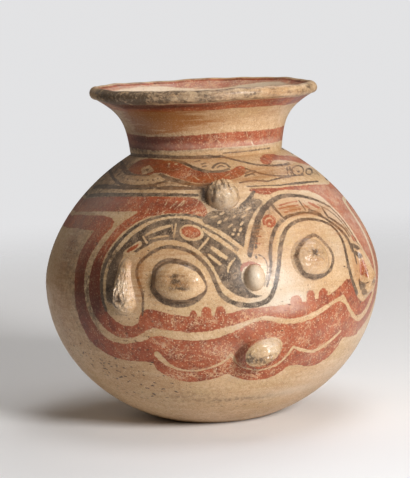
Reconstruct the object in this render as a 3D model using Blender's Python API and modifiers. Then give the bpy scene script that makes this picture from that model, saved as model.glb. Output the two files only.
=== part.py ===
"""Face vase: a round, hand-built clay jar with a flared neck and a face of pressed-on lumps.

The jar is made as a potter makes it. Six wall members, each built up on the one below and
joined with a slanted lap seam, give the bowl, two courses of belly, the shoulder, neck and lip.
Seven lumps of clay are then pressed on to the wall as eyes, nose, mouth, brow knob and ears.
Units are metres, +Z is up, the face looks along -Y and the origin is the middle of the base.
"""

import math

import bmesh
import bpy
from mathutils import Matrix, Vector

# Jar: heights are counted upwards from one level to the next.
BODY_RADIUS = 0.115
BASE_RADIUS = 0.040
GIRTH_HEIGHT = 0.0955
SHOULDER_RISE = 0.086
NECK_RADIUS = 0.052
NECK_LENGTH = 0.0462
RIM_OVERHANG = 0.026
BELLY_FULLNESS = 2.0
SHOULDER_FULLNESS = 1.72
NECK_DRAFT = math.radians(6.0)
FLARE_ANGLE = math.radians(30.0)
NECK_STRAIGHTNESS = 0.55
FLARE_STRAIGHTNESS = 0.78

# Walls and seams.
WALL = 0.0070
BASE_THICKNESS = 0.0095
LIP_BEAD = 0.0005
BOWL_SEAM_HEIGHT = 0.036
GIRTH_SEAM_DROP = 0.004
SHOULDER_SEAM_DROP = 0.042
SEAM_LAP = 0.006
LUTE_GAP = 0.0004

# Lumps: size across the wall, how far each stands off it, and its place. Angles are counted from
# the front, positive to the viewer's right, and left and right are the viewer's.
EYE_STANDOFF = 0.0085
EYE_LEFT_WIDTH = 0.0340
EYE_LEFT_HEIGHT = 0.0260
EYE_LEFT_ANGLE = math.radians(-24.0)
EYE_LEFT_OVER_GIRTH = 0.0125
EYE_RIGHT_WIDTH = 0.0270
EYE_RIGHT_HEIGHT = 0.0250
EYE_RIGHT_ANGLE = math.radians(22.6)
EYE_RIGHT_OVER_GIRTH = 0.0203

NOSE_WIDTH = 0.0140
NOSE_HEIGHT = 0.0192
NOSE_STANDOFF = 0.0100
NOSE_ANGLE = math.radians(0.6)
NOSE_OVER_GIRTH = 0.0125

MOUTH_WIDTH = 0.0300
MOUTH_HEIGHT = 0.0204
MOUTH_STANDOFF = 0.0100
MOUTH_ANGLE = math.radians(1.6)
MOUTH_UNDER_GIRTH = 0.0377
MOUTH_TILT = math.radians(14.0)
LIP_LINE_DEPTH = 0.10
LIP_LINE_WIDTH = 0.22

KNOB_WIDTH = 0.0236
KNOB_HEIGHT = 0.0216
KNOB_STANDOFF = 0.0140
KNOB_ANGLE = math.radians(-8.0)
KNOB_UNDER_NECK = 0.0245
KNOB_FLUTES = 9
FLUTE_DEPTH = 0.07

EAR_WIDTH = 0.0164
EAR_HEIGHT = 0.0352
EAR_STANDOFF = 0.0075
EAR_TAPER = 0.35
EAR_LEFT_ANGLE = math.radians(-43.6)
EAR_LEFT_OVER_GIRTH = 0.0091
EAR_LEFT_TILT = math.radians(2.0)
EAR_RIGHT_ANGLE = math.radians(50.0)
EAR_RIGHT_OVER_GIRTH = 0.0070
EAR_RIGHT_TILT = math.radians(4.0)

# Fineness of the faceted surfaces.
TURN_STEPS = 48
RING_POINTS = 6
LIP_POINTS = 10
LUMP_SEGMENTS = 18
LUMP_RINGS = 12
CURVE_POINTS = 48
NORMAL_REACH = 0.125

CREAM_SLIP = (0.56, 0.40, 0.24, 1.0)
WORN_CLAY = (0.45, 0.34, 0.23, 1.0)
RED_SLIP = (0.33, 0.09, 0.05, 1.0)
BURNISHED = 0.38
RUBBED = 0.55


def clear_scene():
    for thing in list(bpy.data.objects):
        bpy.data.objects.remove(thing)


def new_collection(name):
    collection = bpy.data.collections.new(name)
    bpy.context.scene.collection.children.link(collection)
    return collection


def clay_material(name, colour, roughness):
    material = bpy.data.materials.new(name)
    material.use_nodes = True
    shader = material.node_tree.nodes["Principled BSDF"]
    shader.inputs["Base Color"].default_value = colour
    shader.inputs["Roughness"].default_value = roughness
    shader.inputs["Metallic"].default_value = 0.0
    return material


# The outer side of the wall, as (radius, height) points from the base's edge up to the lip.

def quarter_turn(angle, fullness):
    """Cosine and sine bent by fullness: 2 is an ellipse, less is more conical, more is squarer."""
    power = 2.0 / fullness
    return math.cos(angle) ** power, math.sin(angle) ** power


def belly_points():
    start = math.acos((BASE_RADIUS / BODY_RADIUS) ** (BELLY_FULLNESS / 2.0))
    depth = GIRTH_HEIGHT / quarter_turn(start, BELLY_FULLNESS)[1]
    for step in range(CURVE_POINTS):
        across, down = quarter_turn(start * (1.0 - step / CURVE_POINTS), BELLY_FULLNESS)
        yield BODY_RADIUS * across, GIRTH_HEIGHT - depth * down


def shoulder_points():
    end = math.acos((NECK_RADIUS / BODY_RADIUS) ** (SHOULDER_FULLNESS / 2.0))
    rise = SHOULDER_RISE / quarter_turn(end, SHOULDER_FULLNESS)[1]
    for step in range(CURVE_POINTS):
        across, up = quarter_turn(end * step / CURVE_POINTS, SHOULDER_FULLNESS)
        yield BODY_RADIUS * across, GIRTH_HEIGHT + rise * up


def lip_centre():
    bead = WALL / 2.0 + LIP_BEAD
    radius = NECK_RADIUS + RIM_OVERHANG - bead
    height = GIRTH_HEIGHT + SHOULDER_RISE + NECK_LENGTH - bead
    return Vector((radius, height))


def flare_direction():
    return Vector((math.cos(FLARE_ANGLE), math.sin(FLARE_ANGLE)))


def lip_seat():
    """Middle of the neck's end face, where the round lip is cut off square to the flare."""
    bead = WALL / 2.0 + LIP_BEAD
    reach = math.sqrt(bead ** 2 - (WALL / 2.0) ** 2)
    return lip_centre() - flare_direction() * reach


def neck_points():
    out_and_down = Vector((math.sin(FLARE_ANGLE), -math.cos(FLARE_ANGLE)))
    first = Vector((NECK_RADIUS, GIRTH_HEIGHT + SHOULDER_RISE))
    last = lip_seat() + out_and_down * (WALL / 2.0)
    climb = (last.y - first.y) * NECK_STRAIGHTNESS
    reach = (last.x - first.x) * FLARE_STRAIGHTNESS
    rising = first + Vector((math.tan(NECK_DRAFT), 1.0)) * climb
    flaring = last - Vector((1.0, math.tan(FLARE_ANGLE))) * reach
    for step in range(CURVE_POINTS + 1):
        t = step / CURVE_POINTS
        s = 1.0 - t
        point = first * s ** 3 + rising * 3 * s * s * t + flaring * 3 * s * t * t + last * t ** 3
        yield point.x, point.y


class WallLine:
    """The wall's outer line, read by length along it from the base's edge."""

    def __init__(self):
        self.points = [Vector(p) for p in (*belly_points(), *shoulder_points(), *neck_points())]
        self.lengths = [0.0]
        for before, after in zip(self.points, self.points[1:]):
            self.lengths.append(self.lengths[-1] + (after - before).length)
        self.total = self.lengths[-1]

    def outer(self, length):
        length = min(max(length, 0.0), self.total)
        for index in range(1, len(self.lengths)):
            if self.lengths[index] >= length:
                break
        span = self.lengths[index] - self.lengths[index - 1]
        share = (length - self.lengths[index - 1]) / span
        return self.points[index - 1].lerp(self.points[index], share)

    def normal(self, length):
        step = WALL * NORMAL_REACH
        along = self.outer(length + step) - self.outer(length - step)
        return Vector((along.y, -along.x)).normalized()

    def inner(self, length):
        return self.outer(length) - self.normal(length) * WALL

    def length_at_height(self, height):
        """Length along the line where it passes this height on its way up."""
        for index, point in enumerate(self.points):
            if point.y >= height:
                break
        before, after = self.points[index - 1], self.points[index]
        share = (height - before.y) / (after.y - before.y)
        return self.lengths[index - 1] + share * (self.lengths[index] - self.lengths[index - 1])


def evenly(start, end, count):
    return [start + (end - start) * step / count for step in range(count + 1)]


# Wall members, each a closed section turned about the jar's axis.

def turned(name, section, collection):
    """A solid of revolution: section runs down its outer side and back up its inner side."""
    mesh = bpy.data.meshes.new(name)
    closed = section[0].x > 0.0
    edges = [(i, i + 1) for i in range(len(section) - 1)]
    if closed:
        edges.append((len(section) - 1, 0))
    mesh.from_pydata([(p.x, 0.0, p.y) for p in section], edges, [])
    thing = bpy.data.objects.new(name, mesh)
    collection.objects.link(thing)
    screw = thing.modifiers.new("Turn", "SCREW")
    screw.axis = "Z"
    screw.angle = math.tau
    screw.steps = TURN_STEPS
    screw.render_steps = TURN_STEPS
    screw.use_merge_vertices = True
    screw.merge_threshold = 0.00001
    screw.use_smooth_shade = True
    return thing


def ring_section(line, bottom, top):
    """Section of a wall ring whose seams slant down towards the inside."""
    low, high = bottom + LUTE_GAP / 2.0, top - LUTE_GAP / 2.0
    outer = [line.outer(at) for at in evenly(high, low, RING_POINTS)]
    inner = [line.inner(at - SEAM_LAP) for at in evenly(low, high, RING_POINTS)]
    return outer + inner


def bowl_section(line, top):
    """Section of the bowl, from the middle of its floor inside to the middle of its base outside."""
    high = top - LUTE_GAP / 2.0
    outer = [line.outer(at) for at in evenly(high, 0.0, RING_POINTS + 2)]
    inner = [line.inner(at - SEAM_LAP) for at in evenly(SEAM_LAP, high, 3 * RING_POINTS)]
    above = [p for p in inner if p.y > BASE_THICKNESS]
    below = inner[len(inner) - len(above) - 1]
    share = (BASE_THICKNESS - below.y) / (above[0].y - below.y)
    floor_edge = below.lerp(above[0], share)
    lining = [floor_edge, *above[2:-1:3], above[-1]]
    return [Vector((0.0, BASE_THICKNESS)), *lining, *outer, Vector((0.0, 0.0))]


def neck_section(line, bottom):
    """Section of the neck: a slanted seam on the shoulder and a square end face for the lip."""
    low, high = bottom + LUTE_GAP / 2.0, line.total - LUTE_GAP / 2.0
    outer = [line.outer(at) for at in evenly(high, low, RING_POINTS)]
    inner = [line.inner(at) for at in evenly(low - SEAM_LAP, high, RING_POINTS + 2)]
    return outer + inner


def lip_section():
    """Section of the lip: a round bead, cut off flat where it sits on the neck's end face."""
    bead = WALL / 2.0 + LIP_BEAD
    half_cut = math.asin(WALL / 2.0 / bead)
    centre = lip_centre() + flare_direction() * (LUTE_GAP / 2.0)
    first = FLARE_ANGLE + math.pi - half_cut
    last = FLARE_ANGLE - math.pi + half_cut
    return [centre + Vector((math.cos(a), math.sin(a))) * bead for a in evenly(first, last, LIP_POINTS)]


def seat_section(line, stops):
    """Section of the jar's outside, a lute gap larger all round, that the lumps are cut to."""
    outer = []
    for bottom, top in zip(stops, stops[1:]):
        low, high = bottom + LUTE_GAP / 2.0, top - LUTE_GAP / 2.0
        outer += [line.outer(at) + line.normal(at) * LUTE_GAP for at in evenly(low, high, RING_POINTS)]
    outer.reverse()
    return [Vector((0.0, outer[0].y)), *outer, Vector((0.0, outer[-1].y))]


# Lumps: on the wall's own axes, X to the viewer's right, Y up the wall and Z straight out of it.

def wall_axes(line, angle, height, tilt):
    length = line.length_at_height(height)
    point, normal = line.outer(length), line.normal(length)
    outward = Vector((math.sin(angle), -math.cos(angle), 0.0))
    right = Vector((math.cos(angle), math.sin(angle), 0.0))
    out = outward * normal.x + Vector((0.0, 0.0, normal.y))
    up = out.cross(right)
    axes = Matrix((right, up, out)).transposed().to_4x4()
    axes.translation = outward * point.x + Vector((0.0, 0.0, point.y))
    return axes @ Matrix.Rotation(tilt, 4, "Z")


def plain(point):
    return point


def fluted(point):
    """Grooves that run down the lump, deepest on its face."""
    turn = math.atan2(point.x, point.z)
    shrink = 1.0 - FLUTE_DEPTH * (0.5 + 0.5 * math.cos(turn * KNOB_FLUTES))
    return Vector((point.x * shrink, point.y, point.z * shrink))


def parted(point):
    """A level groove across the middle, between two lips."""
    groove = math.exp(-(point.y / LIP_LINE_WIDTH) ** 2)
    return Vector((point.x, point.y, point.z * (1.0 - LIP_LINE_DEPTH * groove)))


def tapered(point):
    """Narrower and lower towards the top, as a hanging ear lobe is."""
    scale = 1.0 - EAR_TAPER * (0.5 + 0.5 * point.y)
    return Vector((point.x * scale, point.y, point.z * scale))


def lump(name, size, axes, shape, seat, collection):
    """A ball of clay, shaped, pressed on to the wall and cut to the wall's curve behind."""
    width, height, standoff = size
    ball = bmesh.new()
    bmesh.ops.create_uvsphere(ball, u_segments=LUMP_SEGMENTS, v_segments=LUMP_RINGS, radius=1.0)
    upright = Matrix.Rotation(math.radians(-90.0), 4, "X")
    for vertex in ball.verts:
        point = shape(upright @ vertex.co)
        vertex.co = Vector((point.x * width / 2.0, point.y * height / 2.0, point.z * standoff))
    mesh = bpy.data.meshes.new(name)
    ball.to_mesh(mesh)
    ball.free()
    mesh.shade_smooth()
    thing = bpy.data.objects.new(name, mesh)
    thing.matrix_world = axes
    collection.objects.link(thing)
    cut = thing.modifiers.new("Seat on the wall", "BOOLEAN")
    cut.operation = "DIFFERENCE"
    cut.solver = "EXACT"
    cut.object = seat
    return thing


def build():
    clear_scene()
    parts = new_collection("face_vase")
    cutters = new_collection("cutters")
    cream = clay_material("cream_slip", CREAM_SLIP, BURNISHED)
    worn = clay_material("worn_clay", WORN_CLAY, RUBBED)
    red = clay_material("red_slip", RED_SLIP, BURNISHED)

    line = WallLine()
    neck_height = GIRTH_HEIGHT + SHOULDER_RISE
    bowl_seam = line.length_at_height(BOWL_SEAM_HEIGHT)
    girth_seam = line.length_at_height(GIRTH_HEIGHT - GIRTH_SEAM_DROP)
    shoulder_seam = line.length_at_height(neck_height - SHOULDER_SEAM_DROP)
    neck_seam = line.length_at_height(neck_height)

    walls = (
        ("base_bowl", bowl_section(line, bowl_seam), cream),
        ("lower_belly", ring_section(line, bowl_seam, girth_seam), cream),
        ("upper_belly", ring_section(line, girth_seam, shoulder_seam), cream),
        ("shoulder_ring", ring_section(line, shoulder_seam, neck_seam), cream),
        ("neck_collar", neck_section(line, neck_seam), cream),
        ("rim_lip", lip_section(), worn),
    )
    for name, section, finish in walls:
        turned(name, section, parts).data.materials.append(finish)

    stops = (0.0, bowl_seam, girth_seam, shoulder_seam, neck_seam)
    seat = turned("wall_seat", seat_section(line, stops), cutters)
    seat.hide_render = True
    seat.display_type = "WIRE"

    eye_left_size = (EYE_LEFT_WIDTH, EYE_LEFT_HEIGHT, EYE_STANDOFF)
    eye_right_size = (EYE_RIGHT_WIDTH, EYE_RIGHT_HEIGHT, EYE_STANDOFF)
    nose_size = (NOSE_WIDTH, NOSE_HEIGHT, NOSE_STANDOFF)
    mouth_size = (MOUTH_WIDTH, MOUTH_HEIGHT, MOUTH_STANDOFF)
    knob_size = (KNOB_WIDTH, KNOB_HEIGHT, KNOB_STANDOFF)
    ear_size = (EAR_WIDTH, EAR_HEIGHT, EAR_STANDOFF)

    eye_left = wall_axes(line, EYE_LEFT_ANGLE, GIRTH_HEIGHT + EYE_LEFT_OVER_GIRTH, 0.0)
    eye_right = wall_axes(line, EYE_RIGHT_ANGLE, GIRTH_HEIGHT + EYE_RIGHT_OVER_GIRTH, 0.0)
    nose = wall_axes(line, NOSE_ANGLE, GIRTH_HEIGHT + NOSE_OVER_GIRTH, 0.0)
    mouth = wall_axes(line, MOUTH_ANGLE, GIRTH_HEIGHT - MOUTH_UNDER_GIRTH, MOUTH_TILT)
    knob = wall_axes(line, KNOB_ANGLE, neck_height - KNOB_UNDER_NECK, 0.0)
    ear_left = wall_axes(line, EAR_LEFT_ANGLE, GIRTH_HEIGHT + EAR_LEFT_OVER_GIRTH, EAR_LEFT_TILT)
    ear_right = wall_axes(line, EAR_RIGHT_ANGLE, GIRTH_HEIGHT + EAR_RIGHT_OVER_GIRTH, EAR_RIGHT_TILT)

    lumps = (
        ("eye_left", eye_left_size, eye_left, plain, cream),
        ("eye_right", eye_right_size, eye_right, plain, cream),
        ("nose", nose_size, nose, plain, cream),
        ("mouth", mouth_size, mouth, parted, red),
        ("brow_knob", knob_size, knob, fluted, worn),
        ("ear_left", ear_size, ear_left, tapered, worn),
        ("ear_right", ear_size, ear_right, tapered, worn),
    )
    for name, size, axes, shape, finish in lumps:
        lump(name, size, axes, shape, seat, parts).data.materials.append(finish)


build()
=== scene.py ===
import math

import bmesh
import bpy
import numpy as np
from mathutils import Matrix, Vector, noise
from mathutils.bvhtree import BVHTree


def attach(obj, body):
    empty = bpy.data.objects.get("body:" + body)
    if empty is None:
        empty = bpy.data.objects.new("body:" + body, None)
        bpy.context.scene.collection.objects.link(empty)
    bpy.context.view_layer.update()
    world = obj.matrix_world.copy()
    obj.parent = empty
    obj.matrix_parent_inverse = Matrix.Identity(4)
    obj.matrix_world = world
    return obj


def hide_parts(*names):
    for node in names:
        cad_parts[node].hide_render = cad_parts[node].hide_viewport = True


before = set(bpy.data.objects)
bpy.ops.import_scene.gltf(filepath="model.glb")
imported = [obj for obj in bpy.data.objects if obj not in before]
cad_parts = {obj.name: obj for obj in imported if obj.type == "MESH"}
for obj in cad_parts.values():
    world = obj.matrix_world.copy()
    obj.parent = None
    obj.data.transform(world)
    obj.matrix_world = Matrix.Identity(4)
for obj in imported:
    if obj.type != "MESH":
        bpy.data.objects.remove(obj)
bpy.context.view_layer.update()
mm = 0.001
print("frame:", len(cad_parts), "nodes")


# Camera: where the photograph was taken from

photo = dict(width=410, height=478)
shot = dict(
    azimuth=-13.4,
    elevation=7.9,
    distance=1.5,
    pivotHeight=0.100,
    aimRight=-0.0034,
    aimHeight=0.1208,
    roll=-2.55,
    focalPixels=2170,
    sensor=36,
)


def setCamera():
    turn, tilt = math.radians(shot["azimuth"]), math.radians(shot["elevation"])
    flat = Vector((math.sin(turn), -math.cos(turn), 0))
    right = Vector((math.cos(turn), math.sin(turn), 0))
    up = Vector((0, 0, 1))
    place = up * shot["pivotHeight"] + (flat * math.cos(tilt) + up * math.sin(tilt)) * shot["distance"]
    aim = right * shot["aimRight"] + up * shot["aimHeight"]
    look = (aim - place).to_track_quat("-Z", "Y").to_matrix().to_4x4()
    lens = bpy.data.cameras.new("photoCamera")
    lens.sensor_width = shot["sensor"]
    lens.lens = shot["focalPixels"] * shot["sensor"] / max(photo.values())
    camera = bpy.data.objects.new("photoCamera", lens)
    bpy.context.scene.collection.objects.link(camera)
    roll = Matrix.Rotation(math.radians(shot["roll"]), 4, "Z")
    camera.matrix_world = Matrix.Translation(place) @ look @ roll
    bpy.context.scene.camera = camera
    return camera


camera = setCamera()
eye = camera.matrix_world.copy()


def pixelRay(pixel):
    across = (pixel[0] - photo["width"] / 2) / shot["focalPixels"]
    down = (pixel[1] - photo["height"] / 2) / shot["focalPixels"]
    return eye.translation, (eye.to_3x3() @ Vector((across, -down, -1))).normalized()


print("camera set, lens", round(camera.data.lens, 1))


# Jar wall: one outer line, read by its length from the base's edge

jar = dict(
    bodyRadius=0.115,
    baseRadius=0.040,
    girthHeight=0.0955,
    shoulderRise=0.086,
    neckRadius=0.052,
    neckLength=0.0462,
    rimOverhang=0.026,
    bellyFullness=2.0,
    shoulderFullness=1.72,
    neckDraft=6.0,
    flareAngle=30.0,
    neckStraightness=0.55,
    flareStraightness=0.78,
    wall=0.0070,
    baseThickness=0.0095,
    lipBead=0.0005,
    bowlSeam=0.036,
    girthSeam=0.0915,
    shoulderSeam=0.1395,
    seamLap=0.006,
)
neckFoot = jar["girthHeight"] + jar["shoulderRise"]
rimTop = neckFoot + jar["neckLength"]
flare = math.radians(jar["flareAngle"])
bead = jar["wall"] / 2 + jar["lipBead"]
lipCentre = np.array([jar["neckRadius"] + jar["rimOverhang"] - bead, rimTop - bead])
flareWay = np.array([math.cos(flare), math.sin(flare)])


def bulge(angle, fullness):
    return np.cos(angle) ** (2 / fullness), np.sin(angle) ** (2 / fullness)


def outerLine():
    start = math.acos((jar["baseRadius"] / jar["bodyRadius"]) ** (jar["bellyFullness"] / 2))
    across, down = bulge(np.linspace(start, 0, 500), jar["bellyFullness"])
    belly = np.c_[jar["bodyRadius"] * across, jar["girthHeight"] * (1 - down / down[0])]
    end = math.acos((jar["neckRadius"] / jar["bodyRadius"]) ** (jar["shoulderFullness"] / 2))
    across, up = bulge(np.linspace(0, end, 500)[1:], jar["shoulderFullness"])
    shoulder = np.c_[jar["bodyRadius"] * across, jar["girthHeight"] + jar["shoulderRise"] * up / up[-1]]
    seat = lipCentre - flareWay * math.sqrt(bead ** 2 - (jar["wall"] / 2) ** 2)
    first = np.array([jar["neckRadius"], neckFoot])
    last = seat + np.array([flareWay[1], -flareWay[0]]) * jar["wall"] / 2
    climb = (last[1] - first[1]) * jar["neckStraightness"]
    reach = (last[0] - first[0]) * jar["flareStraightness"]
    rising = first + np.array([math.tan(math.radians(jar["neckDraft"])), 1]) * climb
    flaring = last - np.array([1, math.tan(flare)]) * reach
    t = np.linspace(0, 1, 400)[1:, None]
    s = 1 - t
    neck = first * s ** 3 + rising * 3 * s * s * t + flaring * 3 * s * t * t + last * t ** 3
    return np.vstack([belly, shoulder, neck])


line = outerLine()
along = np.r_[0, np.cumsum(np.linalg.norm(np.diff(line, axis=0), axis=1))]
lineEnd = along[-1]


def outerAt(length):
    return np.c_[np.interp(length, along, line[:, 0]), np.interp(length, along, line[:, 1])]


def normalAt(length):
    step = jar["wall"] / 8
    way = outerAt(np.clip(length + step, 0, lineEnd)) - outerAt(np.clip(length - step, 0, lineEnd))
    way /= np.linalg.norm(way, axis=1)[:, None]
    return np.c_[way[:, 1], -way[:, 0]]


def innerAt(length):
    return outerAt(length) - normalAt(length) * jar["wall"]


def lengthAt(height):
    return np.interp(height, line[:, 1], along)


# Everything is then nudged a little out of true, as hand-built clay is; a wave is given as
# turns round the jar, start, change with height and share
handMade = dict(
    swell=0.45 * mm,
    swellWaves=((2, 1.1, 0, 1), (3, -0.4, 31, 0.6), (5, 2, 57, 0.4)),
    rimTilt=-0.6,
    rimSwell=0.4 * mm,
    rimWaves=((3, 0.7, 0, 1), (7, 0, 0, 0.5), (13, 1, 0, 0.35), (23, 0, 0, 0.3)),
)


def waves(kinds, angle, z=0):
    return sum(share * np.sin(turns * angle + start + climb * z) for turns, start, climb, share in kinds)


def outOfTrue(points):
    x, y, z = points.T
    angle = np.arctan2(x, -y)
    swell = handMade["swell"] * waves(handMade["swellWaves"], angle, z)
    grow = 1 + swell * np.sqrt(np.clip(z / jar["girthHeight"], 0, 1)) / jar["bodyRadius"]
    nearRim = np.clip((z - neckFoot) / jar["neckLength"], 0, 1)
    turn = math.radians(shot["azimuth"])
    side = x * math.cos(turn) + y * math.sin(turn)
    lift = side * math.tan(math.radians(handMade["rimTilt"]))
    lift = lift + handMade["rimSwell"] * waves(handMade["rimWaves"], angle)
    return np.c_[x * grow, y * grow, z + lift * nearRim]


def onWall(angle, length, standoff=0.0):
    spot = outerAt(length) + normalAt(length) * np.reshape(standoff, (-1, 1))
    return np.c_[spot[:, 0] * np.sin(angle), -spot[:, 0] * np.cos(angle), spot[:, 1]]


# Wall pieces: a section turned in fine steps across the painted front and more openly behind

turning = dict(frontStart=-103.0, frontEnd=77.0, row=0.62 * mm, frontStep=0.62 * mm, liningRow=6 * mm)
pieces = []


def rows(start, end, step):
    return np.linspace(start, end, max(2, round(abs(end - start) / step) + 1))


def coordinates(bm):
    return np.array([v.co for v in bm.verts])


def crumble(place):
    return noise.fractal(place, 0.8, 2.0, 3)


def turnedAngles(widest, backStep):
    start, end = math.radians(turning["frontStart"]), math.radians(turning["frontEnd"])
    front = np.linspace(start, end, round(widest * (end - start) / turning["frontStep"]) + 1)
    behind = math.tau + start - end
    back = np.linspace(end, start + math.tau, round(widest * behind / backStep) + 1)
    return np.r_[front, back[1:]]


def turnWall(name, node, section, closed=True, backStep=2.4 * mm):
    # a grid with one row to a point of the section and one column to an angle, bent round and welded
    section = np.vstack([section, section[:1]]) if closed else section
    angles = turnedAngles(section[:, 0].max(), backStep)
    columns, steps = len(angles) - 1, len(section) - 1
    bm = bmesh.new()
    bmesh.ops.create_grid(bm, x_segments=columns, y_segments=steps, size=1)
    flat = coordinates(bm)
    angle = angles[np.rint((flat[:, 0] + 1) / 2 * columns).astype(int)]
    radius, height = section[np.rint((flat[:, 1] + 1) / 2 * steps).astype(int)].T
    for vert, place in zip(bm.verts, np.c_[radius * np.sin(angle), -radius * np.cos(angle), height]):
        vert.co = place
    bmesh.ops.remove_doubles(bm, verts=bm.verts, dist=0.002 * mm)
    bmesh.ops.recalc_face_normals(bm, faces=bm.faces)
    spots = coordinates(bm)
    radius = np.hypot(spots[:, 0], spots[:, 1])
    outside = radius > np.interp(spots[:, 2], line[:, 1], line[:, 0]) - 0.3 * jar["wall"]
    outside |= node == "rim_lip"
    angle, plain = np.arctan2(spots[:, 0], -spots[:, 1]), np.zeros(len(spots))
    place = dict(angle=angle, length=lengthAt(spots[:, 2]), outside=outside, dirt=plain, polish=plain)
    addPiece(name, node, bm, spots, place)


def addPiece(name, node, bm, spot, place):
    moved = outOfTrue(spot)
    for vert, spotNow in zip(bm.verts, moved):
        vert.co = spotNow
    tree = BVHTree.FromBMesh(bm)
    pieces.append(dict(name=name, node=node, bm=bm, spot=spot, tree=tree, **place))
    print("shaped", name, len(bm.verts), "points")


def ringSection(bottom, top):
    lap = jar["seamLap"]
    outside = outerAt(rows(top, bottom, turning["row"]))
    inside = innerAt(rows(bottom - lap, top - lap, turning["liningRow"]))
    return np.vstack([outside, inside])


def bowlSection(top):
    outside = outerAt(rows(top, 0, turning["row"] * 1.6))
    inside = innerAt(rows(0, top - jar["seamLap"], turning["liningRow"] / 2))
    inside = inside[inside[:, 1] > jar["baseThickness"] + mm]
    floorEdge = [inside[0, 0] - 1.5 * mm, jar["baseThickness"]]
    middle = [[0, jar["baseThickness"]], [0.4 * jar["baseRadius"], jar["baseThickness"]]]
    under = [[0.8 * jar["baseRadius"], 0], [0.4 * jar["baseRadius"], 0], [0, 0]]
    return np.vstack([middle, floorEdge, inside, outside, under])


def neckSection(bottom):
    outside = outerAt(rows(lineEnd, bottom, turning["row"]))
    inside = innerAt(rows(bottom - jar["seamLap"], lineEnd, turning["row"] * 2))
    return np.vstack([outside, inside])


def lipSection():
    cut = math.asin(jar["wall"] / 2 / bead)
    angle = np.linspace(flare + math.pi - cut, flare - math.pi + cut, 34)
    return lipCentre + bead * np.c_[np.cos(angle), np.sin(angle)]


bowlTop, girthTop, shoulderFoot, neckStart = lengthAt(
    np.array([jar["bowlSeam"], jar["girthSeam"], jar["shoulderSeam"], neckFoot])
)
turnWall("bowlWall", "base_bowl", bowlSection(bowlTop), closed=False)
turnWall("lowerBellyWall", "lower_belly", ringSection(bowlTop, girthTop))
turnWall("upperBellyWall", "upper_belly", ringSection(girthTop, shoulderFoot))
turnWall("shoulderWall", "shoulder_ring", ringSection(shoulderFoot, neckStart), backStep=1.05 * mm)
turnWall("neckWall", "neck_collar", neckSection(neckStart))
turnWall("lipCoil", "rim_lip", lipSection())
lip = pieces[-1]
lipGrime = dict(around=7, tall=2.2 * mm, layer=3, level=0.30, depth=0.9, most=1.2)
streaks = zip(lip["angle"] * lipGrime["around"], lip["spot"][:, 2] / lipGrime["tall"])
streaky = np.array([crumble(Vector((a, z, lipGrime["layer"]))) for a, z in streaks])
lip["dirt"] = np.clip(lipGrime["level"] + lipGrime["depth"] * streaky, 0, lipGrime["most"])


# Lumps of clay pressed on to the wall; angle from the front, sizes across the wall and off it

footEnd = math.radians(126)
footShade = 0.14  # the share of a lump's height that gathers dirt and painted crease shade at its foot
lumpSink = dict(foot=0.12 * mm, under=1.5 * mm)


def lumpOutline(polar, edge, skirt):
    # dome down to the edge angle, then a smoothed foot out on to the wall, then the hidden underside
    t = np.clip((polar - edge) / (footEnd - edge), 0, 1)
    s = 1 - t
    bend = 1 / math.sin(edge)
    footOut = s * s * math.sin(edge) + 2 * s * t * bend + t * t * (bend + skirt)
    footRise = s * s * math.cos(edge)
    under = np.clip((polar - footEnd) / (math.pi - footEnd), 0, 1)
    out = np.where(polar < edge, np.sin(polar), np.where(under > 0, (bend + skirt) * (1 - under), footOut))
    rise = np.where(polar < edge, np.cos(polar), footRise)
    return out, rise, np.where(under > 0, lumpSink["under"], lumpSink["foot"] * t ** 3)


def pressLump(name, node, lump, sculpt):
    bm = bmesh.new()
    bmesh.ops.create_uvsphere(bm, u_segments=lump["around"], v_segments=lump["around"] * 3 // 4, radius=1)
    ball = coordinates(bm)
    polar = np.arccos(np.clip(ball[:, 2], -1, 1))
    way = np.arctan2(ball[:, 1], ball[:, 0])
    out, rise, sink = lumpOutline(polar, math.radians(lump["edge"]), lump["skirt"])
    foot = np.clip(1 - rise / footShade, 0, 1)
    right, up, rise, dirt = sculpt(out * np.cos(way), out * np.sin(way), rise)
    rough = np.array([crumble(Vector(p) * lump["coarse"] + Vector(lump["seed"])) for p in ball])
    rise = rise * (1 + lump["rough"] * rough)
    right, up = right * lump["width"] / 2, up * lump["tall"] / 2
    tilt = math.radians(lump["tilt"])
    across = right * math.cos(tilt) - up * math.sin(tilt)
    length = lengthAt(lump["height"]) + right * math.sin(tilt) + up * math.cos(tilt)
    angle = math.radians(lump["angle"]) + across / outerAt(length)[:, 0]
    spots = onWall(angle, length, rise * lump["standoff"] - sink)
    # the foot gets grime together with painted crease shade
    dirt = np.maximum(dirt, foot * lump["footDirt"])
    polish = np.clip(rise, 0, 1) * lump.get("shine", 1)
    place = dict(angle=angle, length=length, outside=polar < footEnd + 0.2, dirt=dirt, polish=polish)
    addPiece(name, node, bm, spots, place)


def hump(right, up, middle, size):
    return np.exp(-((right - middle[0]) / size[0]) ** 2 - ((up - middle[1]) / size[1]) ** 2)


def bluntNose(right, up, rise):
    # the second term is painted shade down the nose's left side
    return right, up, np.abs(rise) ** 0.75, 0.2 * hump(right, up, (-0.75, 0.2), (0.22, 0.5))


def rubbedEye(right, up, rise):
    # a blunt dome drawn out to the right, a shallow rubbed hollow for the pupil and a fold under it
    hollow = np.clip(1.6 * hump(right, up, (-0.06, 0.04), (0.46, 0.34)) - 0.45, 0, 1)
    fold = hump(right, up, (0.05, -0.36), (0.40, 0.07))
    ridge = hump(right, up, (0.72, -0.04), (0.26, 0.34))
    # dirt in the hollow and the fold, and painted shade down the eye's left side
    dirt = 0.9 * hollow + 0.7 * fold + 0.5 * hump(right, up, (-0.8, 0), (0.3, 0.4))
    return right, up, np.abs(rise) ** 0.85 - 0.10 * hollow - 0.03 * fold + 0.03 * ridge, dirt


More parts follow.
